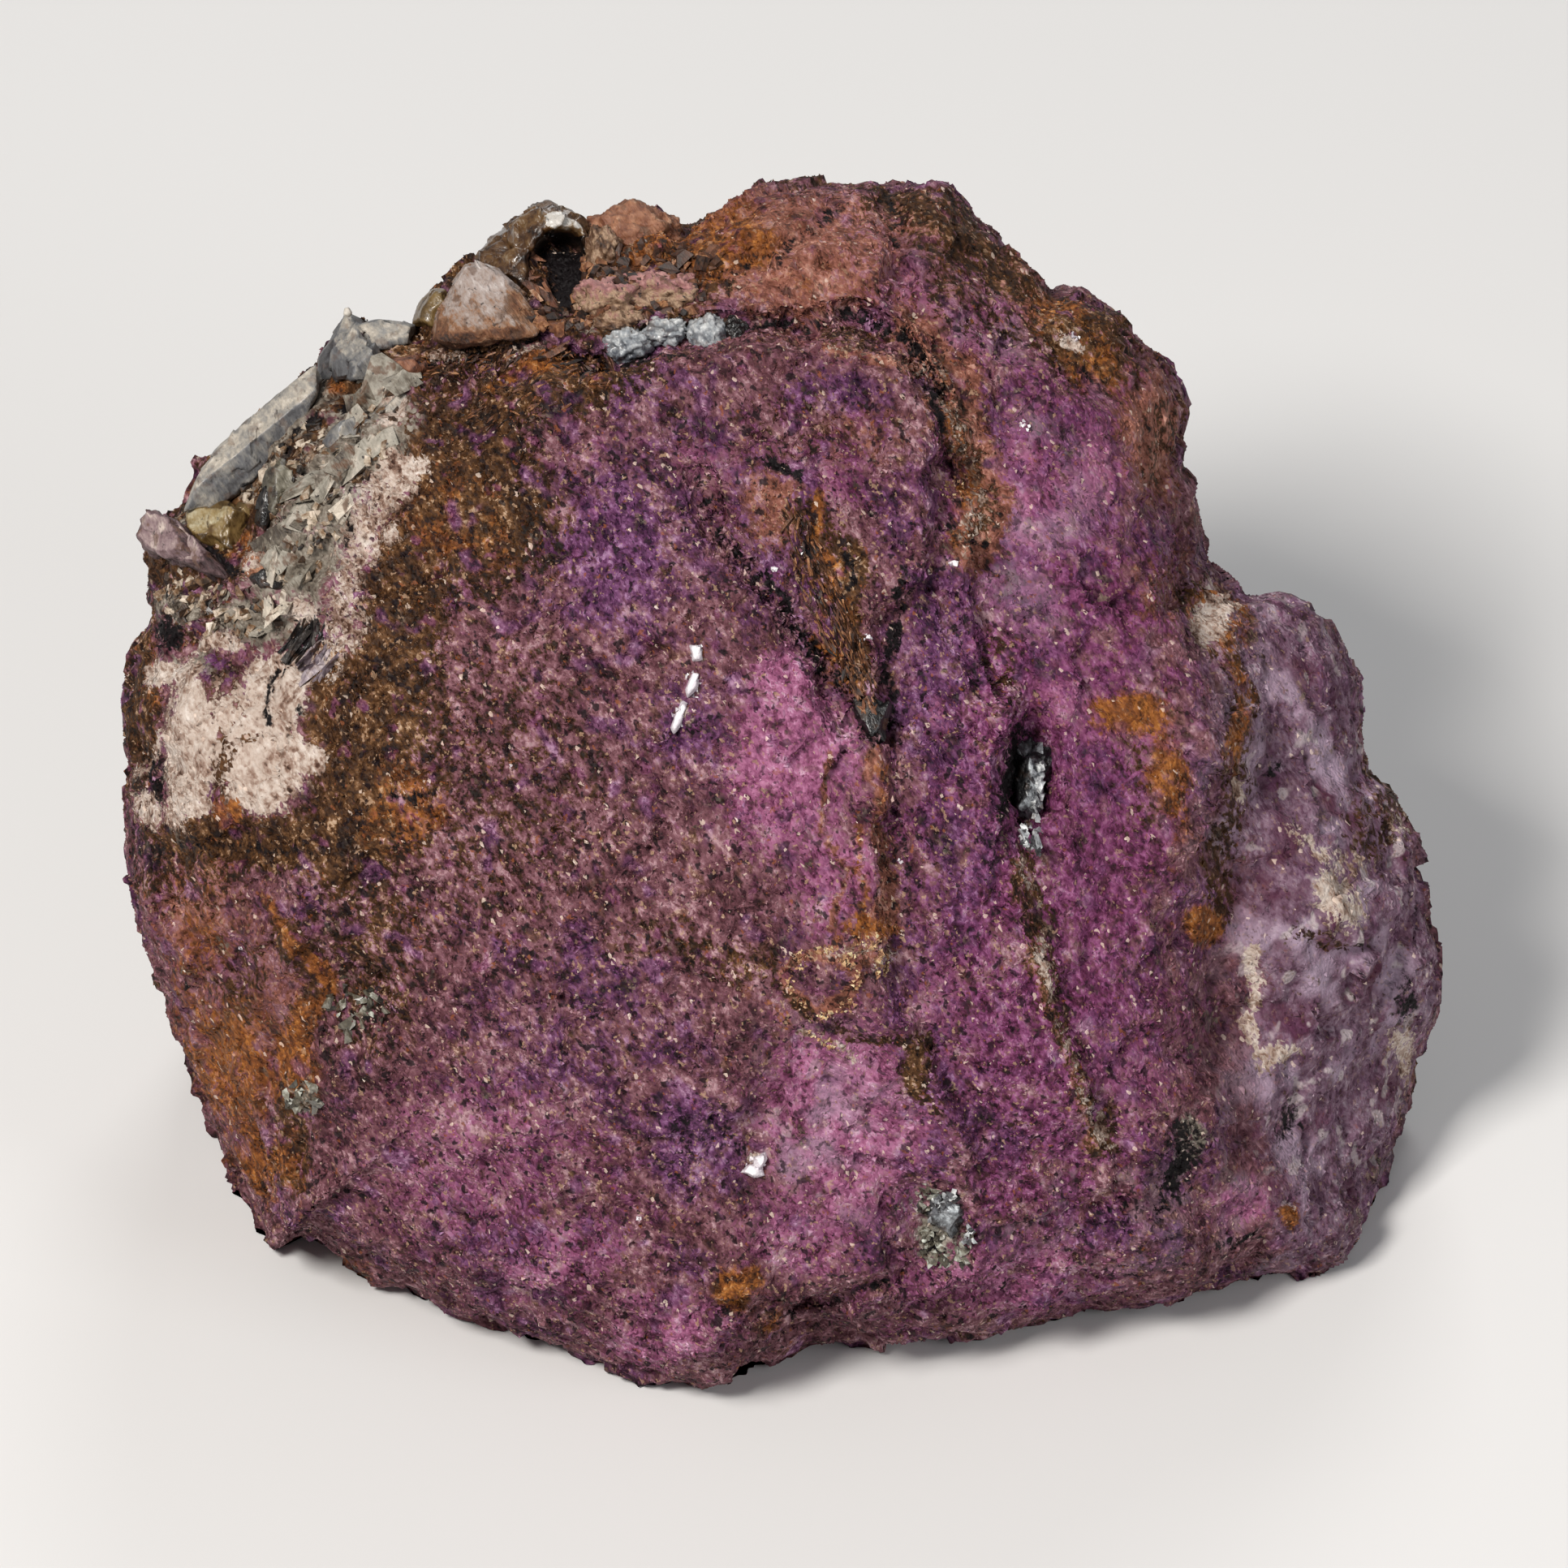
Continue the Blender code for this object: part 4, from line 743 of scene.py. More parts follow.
def linear(red, green, blue, share=1.0):
    # a colour from 0 to 255 as the shader's own values
    shares = [value / 255.0 for value in (red, green, blue)]
    plain = [s / 12.92 if s <= 0.04045 else ((s + 0.055) / 1.055) ** 2.4 for s in shares]
    return tuple(value * share for value in plain) + (1.0,)


class Finish:
    # one material, with short names for the nodes that it is made from
    def __init__(self, name):
        self.material = bpy.data.materials.new(name)
        self.material.use_nodes = True
        self.tree = self.material.node_tree
        self.shader = self.tree.nodes["Principled BSDF"]

    def link(self, value, socket):
        if isinstance(value, bpy.types.NodeSocket):
            self.tree.links.new(value, socket)
        else:
            socket.default_value = value

    def surface(self, name, value):
        self.link(value, self.shader.inputs[name])

    def make(self, kind, **settings):
        node = self.tree.nodes.new(kind)
        for key, value in settings.items():
            setattr(node, key, value)
        return node

    def math(self, operation, first, second):
        node = self.make("ShaderNodeMath", operation=operation)
        self.link(first, node.inputs[0])
        self.link(second, node.inputs[1])
        return node.outputs[0]

    def total(self, *terms):
        # the sum of values, each with its own factor
        result = 0.0
        for value, factor in terms:
            node = self.make("ShaderNodeMath", operation="MULTIPLY_ADD")
            self.link(value, node.inputs[0])
            node.inputs[1].default_value = factor
            self.link(result, node.inputs[2])
            result = node.outputs[0]
        return result

    def vector(self, operation, first, second=(0.0, 0.0, 0.0)):
        node = self.make("ShaderNodeVectorMath", operation=operation)
        self.link(first, node.inputs[0])
        self.link(second, node.inputs[3] if operation == "SCALE" else node.inputs[1])
        return node.outputs[0]

    def places(self, size, stretch=1.0, shift=0.0):
        # object coordinates counted in grains of a size in mm, drawn out along the grain
        coordinates = self.make("ShaderNodeTexCoord").outputs["Object"]
        node = self.make("ShaderNodeMapping", vector_type="TEXTURE")
        self.link(coordinates, node.inputs["Vector"])
        node.inputs["Location"].default_value = (shift * millimetre, -shift * millimetre, 0.0)
        node.inputs["Rotation"].default_value = grainTurn()
        node.inputs["Scale"].default_value = (
            size * stretch * millimetre, size * millimetre, size * millimetre)
        return node.outputs[0]

    def noise(self, places, detail, roughness):
        node = self.make("ShaderNodeTexNoise")
        self.link(places, node.inputs["Vector"])
        node.inputs["Scale"].default_value = 1.0
        node.inputs["Detail"].default_value = detail
        node.inputs["Roughness"].default_value = roughness
        return node.outputs["Fac"]

    def cells(self, places):
        node = self.make("ShaderNodeTexVoronoi")
        self.link(places, node.inputs["Vector"])
        node.inputs["Scale"].default_value = 1.0
        return node.outputs["Color"], node.outputs["Distance"]

    def split(self, colour):
        node = self.make("ShaderNodeSeparateColor")
        self.link(colour, node.inputs[0])
        return tuple(node.outputs[:3])

    def spread(self, value, low, high, outLow=0.0, outHigh=1.0):
        # rises softly from outLow to outHigh as the value goes from low to high
        node = self.make("ShaderNodeMapRange", interpolation_type="SMOOTHSTEP")
        for socket, item in zip(node.inputs[:5], (value, low, high, outLow, outHigh)):
            self.link(item, socket)
        return node.outputs[0]

    def mix(self, share, first, second):
        node = self.make("ShaderNodeMix", data_type="RGBA")
        self.link(share, node.inputs["Factor"])
        self.link(first, node.inputs[6])
        self.link(second, node.inputs[7])
        return node.outputs[2]

    def ramp(self, value, stops):
        node = self.make("ShaderNodeValToRGB")
        self.link(value, node.inputs[0])
        points = node.color_ramp.elements
        while len(points) < len(stops):
            points.new(0.5)
        for point, (place, colour) in zip(points, stops):
            point.position = place
            point.color = colour
        return node.outputs[0]

    def attribute(self, name):
        node = self.make("ShaderNodeAttribute", attribute_name=name)
        return self.split(node.outputs["Color"]) + (node.outputs["Alpha"],)

    def bump(self, height, distance, strength):
        node = self.make("ShaderNodeBump")
        node.inputs["Strength"].default_value = strength
        node.inputs["Distance"].default_value = distance
        self.link(height, node.inputs["Height"])
        return node.outputs[0]

    def tilt(self, colour, amount, normal):
        # leans the normal one way in each grain, so that a few grains catch the light
        lean = self.vector("SUBTRACT", colour, (0.5, 0.5, 0.5))
        lean = self.vector("SCALE", lean, amount)       # amount: a value or a number
        return self.vector("NORMALIZE", self.vector("ADD", normal, lean))


def grainTurn():
    # the turn from the part's own axes to right, up and depth, with the grain's long way first
    lean = mathutils.Matrix.Rotation(math.radians(90.0 - rock["lean"]), 3, "X")
    slant = mathutils.Matrix.Rotation(math.radians(grain["slant"]), 3, "Z")
    return tuple((lean @ slant).to_euler("XYZ"))


grain = {
    "slant": -57.0,               # degrees: the grain runs from upper left to lower right
    "size": 0.14,                 # of a grain, in mm
    "stretch": 1.5,
    "front": 118000,              # grains on the face and on the back
    "behind": 24000,
    "half": (0.105, 0.062, 0.062),    # half length, half width and height
    "spread": 0.3,                # how much their sizes differ
    "uneven": 0.18,               # how far their corners are off
    "sunk": 0.03,
    "atRim": 0.55,                # size of the grains on the outline, against those of the face
    "rimBand": (0.02, 0.3),       # where they grow to their full size, from the outline inwards
    "lean": 0.24,
    "swing": 0.4,
    "fewer": 0.8,                 # share left out where the rock is smooth
    "aboveRest": 0.4,             # no grains lower than this, in mm
    "seed": 5,
}

# Each colour of the rock, from its dark hollows to its pale grain tips; the hollows between the grains are
# darker partly as painted shade
rockColours = {
    "mauve": [(0.0, (46, 18, 24)), (0.25, (84, 46, 53)), (0.5, (115, 71, 79)), (0.75, (144, 98, 107)),
              (1.0, (192, 152, 158))],
    "plum": [(0.0, (46, 11, 31)), (0.25, (90, 34, 66)), (0.5, (131, 64, 107)), (0.75, (162, 96, 139)),
             (1.0, (196, 150, 178))],
    "violet": [(0.0, (40, 14, 42)), (0.3, (86, 42, 78)), (0.6, (126, 75, 118)), (1.0, (186, 142, 180))],
    "pink": [(0.0, (86, 34, 60)), (0.3, (148, 80, 116)), (0.65, (190, 122, 158)), (1.0, (228, 184, 210))],
    "brown": [(0.0, (24, 12, 6)), (0.3, (55, 31, 14)), (0.6, (88, 57, 31)), (0.85, (134, 95, 62)),
              (1.0, (204, 172, 142))],
    "orange": [(0.0, (60, 28, 10)), (0.4, (132, 75, 34)), (0.75, (184, 116, 54)), (1.0, (222, 166, 108))],
    "cream": [(0.0, (80, 52, 40)), (0.25, (150, 120, 104)), (0.5, (206, 186, 172)), (1.0, (246, 234, 224))],
    "grey": [(0.0, (64, 54, 46)), (0.4, (136, 125, 112)), (0.75, (180, 171, 158)), (1.0, (220, 213, 203))],
    "far": [(0.0, (62, 32, 48)), (0.35, (106, 72, 92)), (0.65, (142, 112, 130)), (1.0, (192, 174, 184))],
    "clay": [(0.0, (60, 28, 22)), (0.3, (122, 72, 58)), (0.6, (162, 104, 88)), (1.0, (212, 162, 142))],
}
rockFinish = {
    "gain": 0.72,                 # brightness of all the colours
    # the body shows in the gaps between the grains, so its lower tone is painted shade there
    "lift": (-0.06, 0.04),        # tone of the body and of its grains
    "toneShares": (0.4, 1.5, 1.9),    # of a grain's chance, the middle and the fine noise in it
    "roughness": 0.66,
    "specular": 0.18,
    # colour of the painted shade in hollows, cracks and gaps
    "paintedShade": (14, 8, 10),
    # painted highlight: the pale colour that a few grains are mixed halfway towards, besides their real lower
    # roughness
    "paintedGlint": (228, 204, 186),
    "paintedGlintFrom": (0.991, 0.993),  # a grain whose chance is above this glints
    "broad": (5.0, 1.0),          # size in mm and stretch of the three noises
    "middle": (1.5, 1.2),
    "fine": (0.4, 1.3),
    "bumpDepth": 0.12,            # in mm
}
# Spots of other colours strewn through the rock: size in mm, the noise levels between which
# they set in, how much they cover, the colour that they take, and the shift of their noise
rockSpots = [
    (0.42, 0.41, 0.34, 0.9, "dusk", 3.0), (0.8, 0.60, 0.68, 0.6, "brown", 11.0),
    (0.28, 0.64, 0.68, 0.7, "tan", 23.0), (1.6, 0.41, 0.32, 0.7, "violet", 31.0),
    (0.33, 0.67, 0.71, 0.7, "ember", 43.0), (0.9, 0.62, 0.70, 0.5, "plum", 57.0),
]
spotColours = {"dusk": (24, 10, 16), "tan": (188, 152, 122), "ember": (150, 84, 48)}
# Soft clouds over the parts that lie further back: size, levels, cover, colour
veilClouds = [(2.6, 0.50, 0.66, 0.75, (194, 170, 190)), (2.2, 0.47, 0.33, 0.85, (84, 36, 58)),
              (1.2, 0.60, 0.66, 0.6, (214, 200, 198))]


# A grain takes a stain where the stain is stronger than the grain's own threshold. The two kinds
# of threshold: shares of the grain's chance and of a noise, and what is taken off
thresholds = [(0.35, 1.9, 0.625), (0.35, 1.8, 0.6)]
# Each stain's kind of threshold, and how softly it sets in; the painted shade's as well
stainAndShadeTaking = {
    "plum": (0, 0.2), "violet": (0, 0.25), "pink": (1, 0.25), "far": (0, 0.3), "clay": (1, 0.25),
    "brown": (1, 0.14), "orange": (0, 0.25), "grey": (0, 0.2), "cream": (1, 0.12), "paintedShade": (1, 0.2),
}
violetClouds = (0.44, 0.66, 0.0, 0.5)    # the broad noise's levels, and the violet at each
spotCalm = 0.75                          # share of the spots missing where the rock is smooth


def stainedAndShadedColour(made, value, chances, middle, fine):
    # the rock's colour: its ground, then one stain over the other, then clouds and spots, then the last
    # stains and the painted shade of hollows and cracks
    gain = rockFinish["gain"]
    tones = {name: made.ramp(value, [(place, linear(*colour, gain)) for place, colour in stops])
             for name, stops in rockColours.items()}
    tones.update({name: linear(*colour, gain) for name, colour in spotColours.items()})
    tones["paintedShade"] = linear(*rockFinish["paintedShade"])
    weights = {}
    for layer, names in stainAndShadeLayers.items():
        weights.update(zip(names, made.attribute(layer)))
    limits = [
        made.total((chance, chanceShare), (noise, noiseShare), (less, -1.0))
        for chance, noise, (chanceShare, noiseShare, less) in zip(chances[1:], (middle, fine), thresholds)]
    broad = made.noise(made.places(*rockFinish["broad"]), 3.0, 0.6)
    clouds = made.spread(broad, *violetClouds)
    weights["violet"] = made.math("MAXIMUM", weights["violet"], clouds)

    def stainedAndShaded(colour, *names):
        for name in names:
            kind, soft = stainAndShadeTaking[name]
            low = made.math("SUBTRACT", limits[kind], soft)
            here = made.spread(weights[name], low, made.math("ADD", limits[kind], soft))
            colour = made.mix(here, colour, tones[name])
        return colour

    colour = stainedAndShaded(tones["mauve"], "plum", "violet", "pink", "far")
    for number, (size, low, high, cover, tint) in enumerate(veilClouds):
        cloud = made.noise(made.places(size, 1.0, 7.0 * number), 2.0, 0.5)
        here = made.math("MULTIPLY", made.spread(cloud, low, high, 0.0, cover), weights["veil"])
        colour = made.mix(here, colour, linear(*tint, gain))
    colour = stainedAndShaded(colour, "clay", "brown", "orange")
    calm = made.total((weights["smooth"], -spotCalm), (1.0, 1.0))
    for size, low, high, cover, name, shift in rockSpots:
        here = made.noise(made.places(size, 1.2, shift), 2.0, 0.55)
        here = made.math("MULTIPLY", made.spread(here, low, high, 0.0, cover), calm)
        colour = made.mix(here, colour, tones[name])
    # last, the painted shade of hollows and cracks goes over everything
    return stainedAndShaded(colour, "grey", "cream", "paintedShade")


def rockMaterial(name, ownGrains):
    # ownGrains: the chances come from each grain's attribute, or else from cells in space
    made = Finish(name)
    if ownGrains:
        chances = made.attribute("grainChance")
    else:
        cellColour, cellDistance = made.cells(made.places(grain["size"], grain["stretch"]))
        chances = made.split(cellColour)
    middle = made.noise(made.places(*rockFinish["middle"]), 3.0, 0.6)
    fine = made.noise(made.places(*rockFinish["fine"]), 3.0, 0.6)
    smooth = made.attribute("stainThree")[1]
    contrast = made.total((smooth, -0.4), (1.0, 1.0))
    shares = rockFinish["toneShares"]
    # painted shade: the body, seen between the grains, takes a lower tone than the grains
    lift = rockFinish["lift"][ownGrains] - sum(shares) / 2.0
    swing = made.total((chances[0], shares[0]), (middle, shares[1]), (fine, shares[2]), (lift, 1.0))
    value = made.total((made.math("MULTIPLY", swing, contrast), 1.0), (0.5, 1.0))
    colour = stainedAndShadedColour(made, value, chances, middle, fine)
    # painted highlight on a few grains, with a real drop in roughness
    paintedGlint = made.spread(chances[2], *rockFinish["paintedGlintFrom"])
    colour = made.mix(made.math("MULTIPLY", paintedGlint, 0.5), colour, linear(*rockFinish["paintedGlint"]))
    made.surface("Base Color", colour)
    made.surface("Roughness", made.total((paintedGlint, -0.4), (rockFinish["roughness"], 1.0)))
    made.surface("Specular IOR Level", rockFinish["specular"])
    if not ownGrains:
        height = made.total((fine, 0.7), (cellDistance, -0.5))
        normal = made.bump(height, rockFinish["bumpDepth"] * millimetre, 0.8)
        normal = made.tilt(cellColour, made.total((smooth, -0.45), (0.6, 1.0)), normal)
        made.surface("Normal", normal)
    return made.material


def makeBody():
    # one closed mesh of the whole rock, with its stains as colour attributes
    points, directions, quads, seam = bodyPoints(body["frontCells"], body["frontCells"] // 2)
    layers = bodyStainsAndShade(points, directions)
    piece = makeMesh("rockBody", points, quads, seam)
    height = toWorld(points)[:, 2] / millimetre
    raised = np.concatenate([height[quads].max(axis=1), height[seam].max(axis=1)])
    piece.data.polygons.foreach_set("use_smooth", raised > body["flatBelow"])
    for layer, values in layers.items():
        setAttribute(piece, layer, values)
    piece.data.materials.append(rockMaterial("grainyRock", False))
    onRock(piece)
    triangles = np.vstack([triangleSplit(quads), seam])
    print("rock body:", len(triangles), "triangles")
    return {"points": points, "directions": directions, "triangles": triangles,
            "normals": vertexNormals(points, triangles), "layers": layers}


faceFrom = 0.15      # how far a point must face the viewer to count as the face


def nearestOnFace(surface, right, up):
    # the face's own points nearest to places in the picture plane
    front = np.flatnonzero(surface["directions"][:, 2] > faceFrom)
    flat = surface["points"][front, :2]
    near = [np.argmin((flat[:, 0] - r) ** 2 + (flat[:, 1] - u) ** 2) for r, u in zip(right, up)]
    return front[near]


# Small solids: corners in half sizes, the number of them in the base, and faces
solidKinds = {
    "chip": ([(-1.0, -0.8, 0), (1.0, -0.6, 0), (0.1, 1.1, 0), (0.1, -0.1, 1)], 3,
             [], [(0, 2, 1), (0, 1, 3), (1, 2, 3), (2, 0, 3)]),
    "ridge": ([(-1, -1, 0), (1, -1, 0), (1, 1, 0), (-1, 1, 0), (-0.4, 0, 1), (0.4, 0, 1)], 4,
              [(0, 3, 2, 1), (0, 1, 5, 4), (2, 3, 4, 5)], [(3, 0, 4), (1, 2, 5)]),
    "block": ([(-1, -1, 0), (1, -1, 0), (1, 1, 0), (-1, 1, 0),
               (-0.7, -0.6, 1), (0.8, -0.7, 0.8), (0.6, 0.8, 0.9), (-0.8, 0.6, 1)], 4,
              [(0, 3, 2, 1), (4, 5, 6, 7), (0, 1, 5, 4), (1, 2, 6, 5), (2, 3, 7, 6), (3, 0, 4, 7)], []),
}


def smallSolids(kind, place, along, out, half, chance, uneven, size=1.0):
    # one solid at each place, its long way along and its height outwards
    corners, base = solidKinds[kind][:2]
    scale = (size * np.exp(chance.normal(scale=grain["spread"], size=len(place))))[:, None, None]
    local = np.array(corners) * half * scale
    local = local + chance.normal(scale=uneven, size=local.shape) * half[1] * scale
    local[:, :base, 2] -= grain["sunk"]
    along = along - out * (along * out).sum(axis=1)[:, None]
    along /= np.linalg.norm(along, axis=1)[:, None]
    frames = np.stack([along, np.cross(out, along), out], axis=1)
    return place[:, None, :] + local @ frames


def solidsPiece(name, kind, solids, attributes, finish):
    # one mesh of many small solids, flat shaded
    count = solids.shape[1]
    start = np.arange(len(solids))[:, None] * count
    quads, triangles = [
        np.vstack([start + np.array(row) for row in rows]) if rows else np.zeros((0, 4), dtype=int)
        for rows in solidKinds[kind][2:]]
    piece = makeMesh(name, solids.reshape(-1, 3), quads, triangles)
    for layer, values in attributes.items():
        setAttribute(piece, layer, np.repeat(values, count, axis=0))
    piece.data.materials.append(finish)
    onRock(piece)
    print(name + ":", len(solids))


def grainPieces(surface, finish):
    # grains strewn over the whole rock by area, half sunk in it, leaning at random
    points, directions, triangles = surface["points"], surface["directions"], surface["triangles"]
    chance = np.random.default_rng(grain["seed"])
    corners = points[triangles]
    flat = np.cross(corners[:, 1] - corners[:, 0], corners[:, 2] - corners[:, 0])
    area = np.linalg.norm(flat, axis=1)
    facing = directions[triangles[:, 0], 2] > 0.0
    lean = math.radians(rock["lean"])
    rise = corners[:, :, 1] * math.cos(lean) + corners[:, :, 2] * math.sin(lean)
    area *= rock["middleHeight"] + rise.min(axis=1) > grain["aboveRest"]
    picks = []
    for side, count in ((facing, grain["front"]), (~facing, grain["behind"])):
        weight = area * side
        picks.append(chance.choice(len(triangles), count, p=weight / weight.sum()))
    pick = np.concatenate(picks)
    share = chance.uniform(size=(len(pick), 3)) + 0.02
    share /= share.sum(axis=1)[:, None]

    def between(values):
        return (values[triangles[pick]] * share[:, :, None]).sum(axis=1)

    out = between(surface["normals"]) + chance.normal(scale=grain["lean"], size=(len(pick), 3))
    out /= np.linalg.norm(out, axis=1)[:, None]
    slant = math.radians(grain["slant"])
    along = np.array([math.cos(slant), math.sin(slant), 0.0])
    along = along + chance.normal(scale=grain["swing"], size=out.shape)
    inwards = smoothStep(*grain["rimBand"], between(directions)[:, 2])
    inwards += directions[triangles[pick, 0], 2] < 0.0
    size = grain["atRim"] + (1.0 - grain["atRim"]) * inwards
    solids = smallSolids(
        "chip", between(points), along, out, grain["half"], chance, grain["uneven"], size)
    attributes = {layer: between(values) for layer, values in surface["layers"].items()}
    attributes["grainChance"] = chance.uniform(size=(len(pick), 4))
    world = toWorld(solids.reshape(-1, 3)).reshape(solids.shape)
    inside = ((world > cadLow) & (world < cadHigh)).all(axis=(1, 2))
    inside &= chance.uniform(size=len(pick)) > grain["fewer"] * attributes["stainThree"][:, 1]
    groups = np.array_split(chance.permutation(grain["front"]), 3)
    groups.append(np.arange(grain["front"], len(pick)))
    names = ["faceGrainsOne", "faceGrainsTwo", "faceGrainsThree", "backGrains"]
    for name, group in zip(names, groups):
        group = group[inside[group]]
        here = {layer: values[group] for layer, values in attributes.items()}
        solidsPiece(name, "chip", solids[group], here, finish)


def roundGrid(count):
    # two disc grids joined along their rims: a closed ball of even squares
    across, along, quads, ring = discGrid(count)
    number = len(across)
    inner = np.setdiff1d(np.arange(number), ring)
    behind = np.arange(number)
    behind[inner] = number + np.arange(len(inner))
    radius, angle = np.hypot(across, along), np.arctan2(along, across)
    turn = np.concatenate([radius, 2.0 - radius[inner]]) * math.pi / 2.0
    angle = np.concatenate([angle, angle[inner]])
    directions = np.column_stack([
        np.sin(turn) * np.cos(angle), np.sin(turn) * np.sin(angle), np.cos(turn)])
    return directions, np.vstack([quads, behind[quads[:, ::-1]]])


# Flat faces behind a crystal: tilt right, tilt up, and how far back from its edge they start, as
# a share of its depth
backTapers = [(0.0, 0.0, 1.0), (1.0, 0.3, 0.3), (-1.0, 0.2, 0.35), (0.2, 1.0, 0.4), (-0.3, -1.0, 0.3)]
# Roughness of a crystal's faces: size and seed of its waves, and size, seed and share of its chips
stoneWaves = (0.5, 81)
stoneChips = (0.8, 83, 1.2)
hollowEdge = (0.1, 0.4)       # how far a point must face the viewer to be hollowed out


def cutStone(name, look, finish, surface):
    # a ball cut flat by planes: the reach in each direction is the soft least of the planes' own.
    # Side planes stand on the outline's edges, front planes are tilted to the right and up.
    corners = np.array(look["corners"])
    middle = corners.mean(axis=0)
    after = np.roll(corners, -1, axis=0)
    edge = after - corners
    turnSign = np.sign((corners[:, 0] * after[:, 1] - after[:, 0] * corners[:, 1]).sum())
    side = np.column_stack([edge[:, 1], -edge[:, 0]]) * turnSign
    side /= np.linalg.norm(side, axis=1)[:, None]
    reach = (side * ((corners + after) / 2.0 - middle)).sum(axis=1)
    normals = np.column_stack([side, np.full(len(side), look["draft"])])
    size = np.linalg.norm(normals, axis=1)
    normals, reach = normals / size[:, None], reach / size
    tones = np.full(len(side), look["sideTone"])
    for tiltRight, tiltUp, height, tone in look["facets"]:
        facet = np.array([tiltRight, tiltUp, 1.0])
        long = np.linalg.norm(facet)
        normals = np.vstack([normals, facet / long])
        reach = np.append(reach, height / long)
        tones = np.append(tones, tone)
    for tiltRight, tiltUp, share in backTapers:
        facet = np.array([tiltRight, tiltUp, -1.0])
        long = np.linalg.norm(facet)
        furthest = ((corners - middle) @ facet[:2]).max()
        normals = np.vstack([normals, facet / long])
        reach = np.append(reach, (furthest + share * look["back"]) / long)
        tones = np.append(tones, look["sideTone"])
    directions, quads = roundGrid(look["cells"])
    lean = np.maximum(directions @ normals.T, 0.0) / reach
    radius = (lean ** look["sharpness"]).sum(axis=1) ** (-1.0 / look["sharpness"])
    points = directions * radius[:, None]
    broken = waveNoise(points / stoneWaves[0], stoneWaves[1])
    broken += stoneChips[2] * chipNoise(points / stoneChips[0], stoneChips[1])[0]
    points += directions * (look["rough"] * broken)[:, None]
    depth = surface["points"][nearestOnFace(surface, middle[:1], middle[1:])[0], 2]
    points += (middle[0], middle[1], depth + look["rise"] - look["facets"][0][2])
    # each point takes the tone of the facet it lies on: partly the crystal's own colour, partly painted light
    # and shade
    tone = tones[np.argmax(lean, axis=1)]
    high = np.ptp(corners[:, 1]) / 2.0
    tone = tone + look.get("fade", 0.0) * (points[:, 1] - middle[1]) / high
    if "hollow" in look:
        *oval, deep = look["hollow"]
        share = ovalShare(*bentPlaces(points[:, 0], points[:, 1], hollowBend), *oval)
        hollow = np.exp(-share ** 3) * smoothStep(*hollowEdge, directions[:, 2])
        points[:, 2] -= deep * hollow
        # painted shade: inside the hollow the colour is taken down towards black
        tone = tone - 2.0 * hollow
    piece = makeMesh(name, points, quads)
    smoothShade(piece)
    setAttribute(piece, "tone", np.column_stack([tone, tone, tone, np.ones(len(tone))]))
    piece.data.materials.append(finish)
    onRock(piece)


# Dirt on the crystals: size in mm, the noise levels between which it sets in, cover, colour
stoneDirt = [(0.7, 0.55, 0.66, 0.8, (88, 58, 36)), (0.3, 0.63, 0.68, 0.9, (30, 20, 18))]
stoneFinish = {
    "ior": 1.54,                  # as quartz
    "coatRoughness": 0.12,
    "scratches": (0.14, 4.0),     # size in mm and stretch
    "bumpDepth": 0.06,            # in mm
}


def stoneMaterial(name, look):
    # colour by facet, which on the cut crystals carries painted light and shade, and by waves, gloss,
    # scratches along the grain, and light through it
    made = Finish(name)
    tone = made.attribute("tone")[0]
    broad = made.noise(made.places(look["patch"]), 3.0, 0.6)
    fine = made.noise(made.places(*stoneFinish["scratches"]), 3.0, 0.6)
    value = made.total((tone, 1.0), (broad, 1.3), (fine, 0.6), (0.95, -1.0))
    stops = [(place, linear(*colour)) for place, colour in look["colours"]]
    colour = made.ramp(value, stops)
    for size, low, high, cover, tint in stoneDirt:
        dirt = made.noise(made.places(size, 1.2, 9.0), 3.0, 0.6)
        here = made.spread(dirt, low, high, 0.0, cover)
        here = made.math("MULTIPLY", here, look.get("dirt", 0.6))
        colour = made.mix(here, colour, linear(*tint))
    made.surface("Base Color", colour)
    made.surface("Roughness", made.total((fine, 0.3), (look["roughness"] - 0.15, 1.0)))
    made.surface("IOR", stoneFinish["ior"])
    made.surface("Transmission Weight", look["clear"])
    made.surface("Coat Weight", look["wet"])
    made.surface("Coat Roughness", stoneFinish["coatRoughness"])
    height = made.total((fine, 1.0), (broad, 0.6))
    made.surface("Normal", made.bump(height, stoneFinish["bumpDepth"] * millimetre, look["bump"]))
    if look["clear"] > 0.0:
        fog = made.make("ShaderNodeVolumeAbsorption")
        fog.inputs["Color"].default_value = linear(*look["absorbs"])
        fog.inputs["Density"].default_value = look["density"]
        made.link(fog.outputs[0], made.tree.nodes["Material Output"].inputs["Volume"])
    return made.material


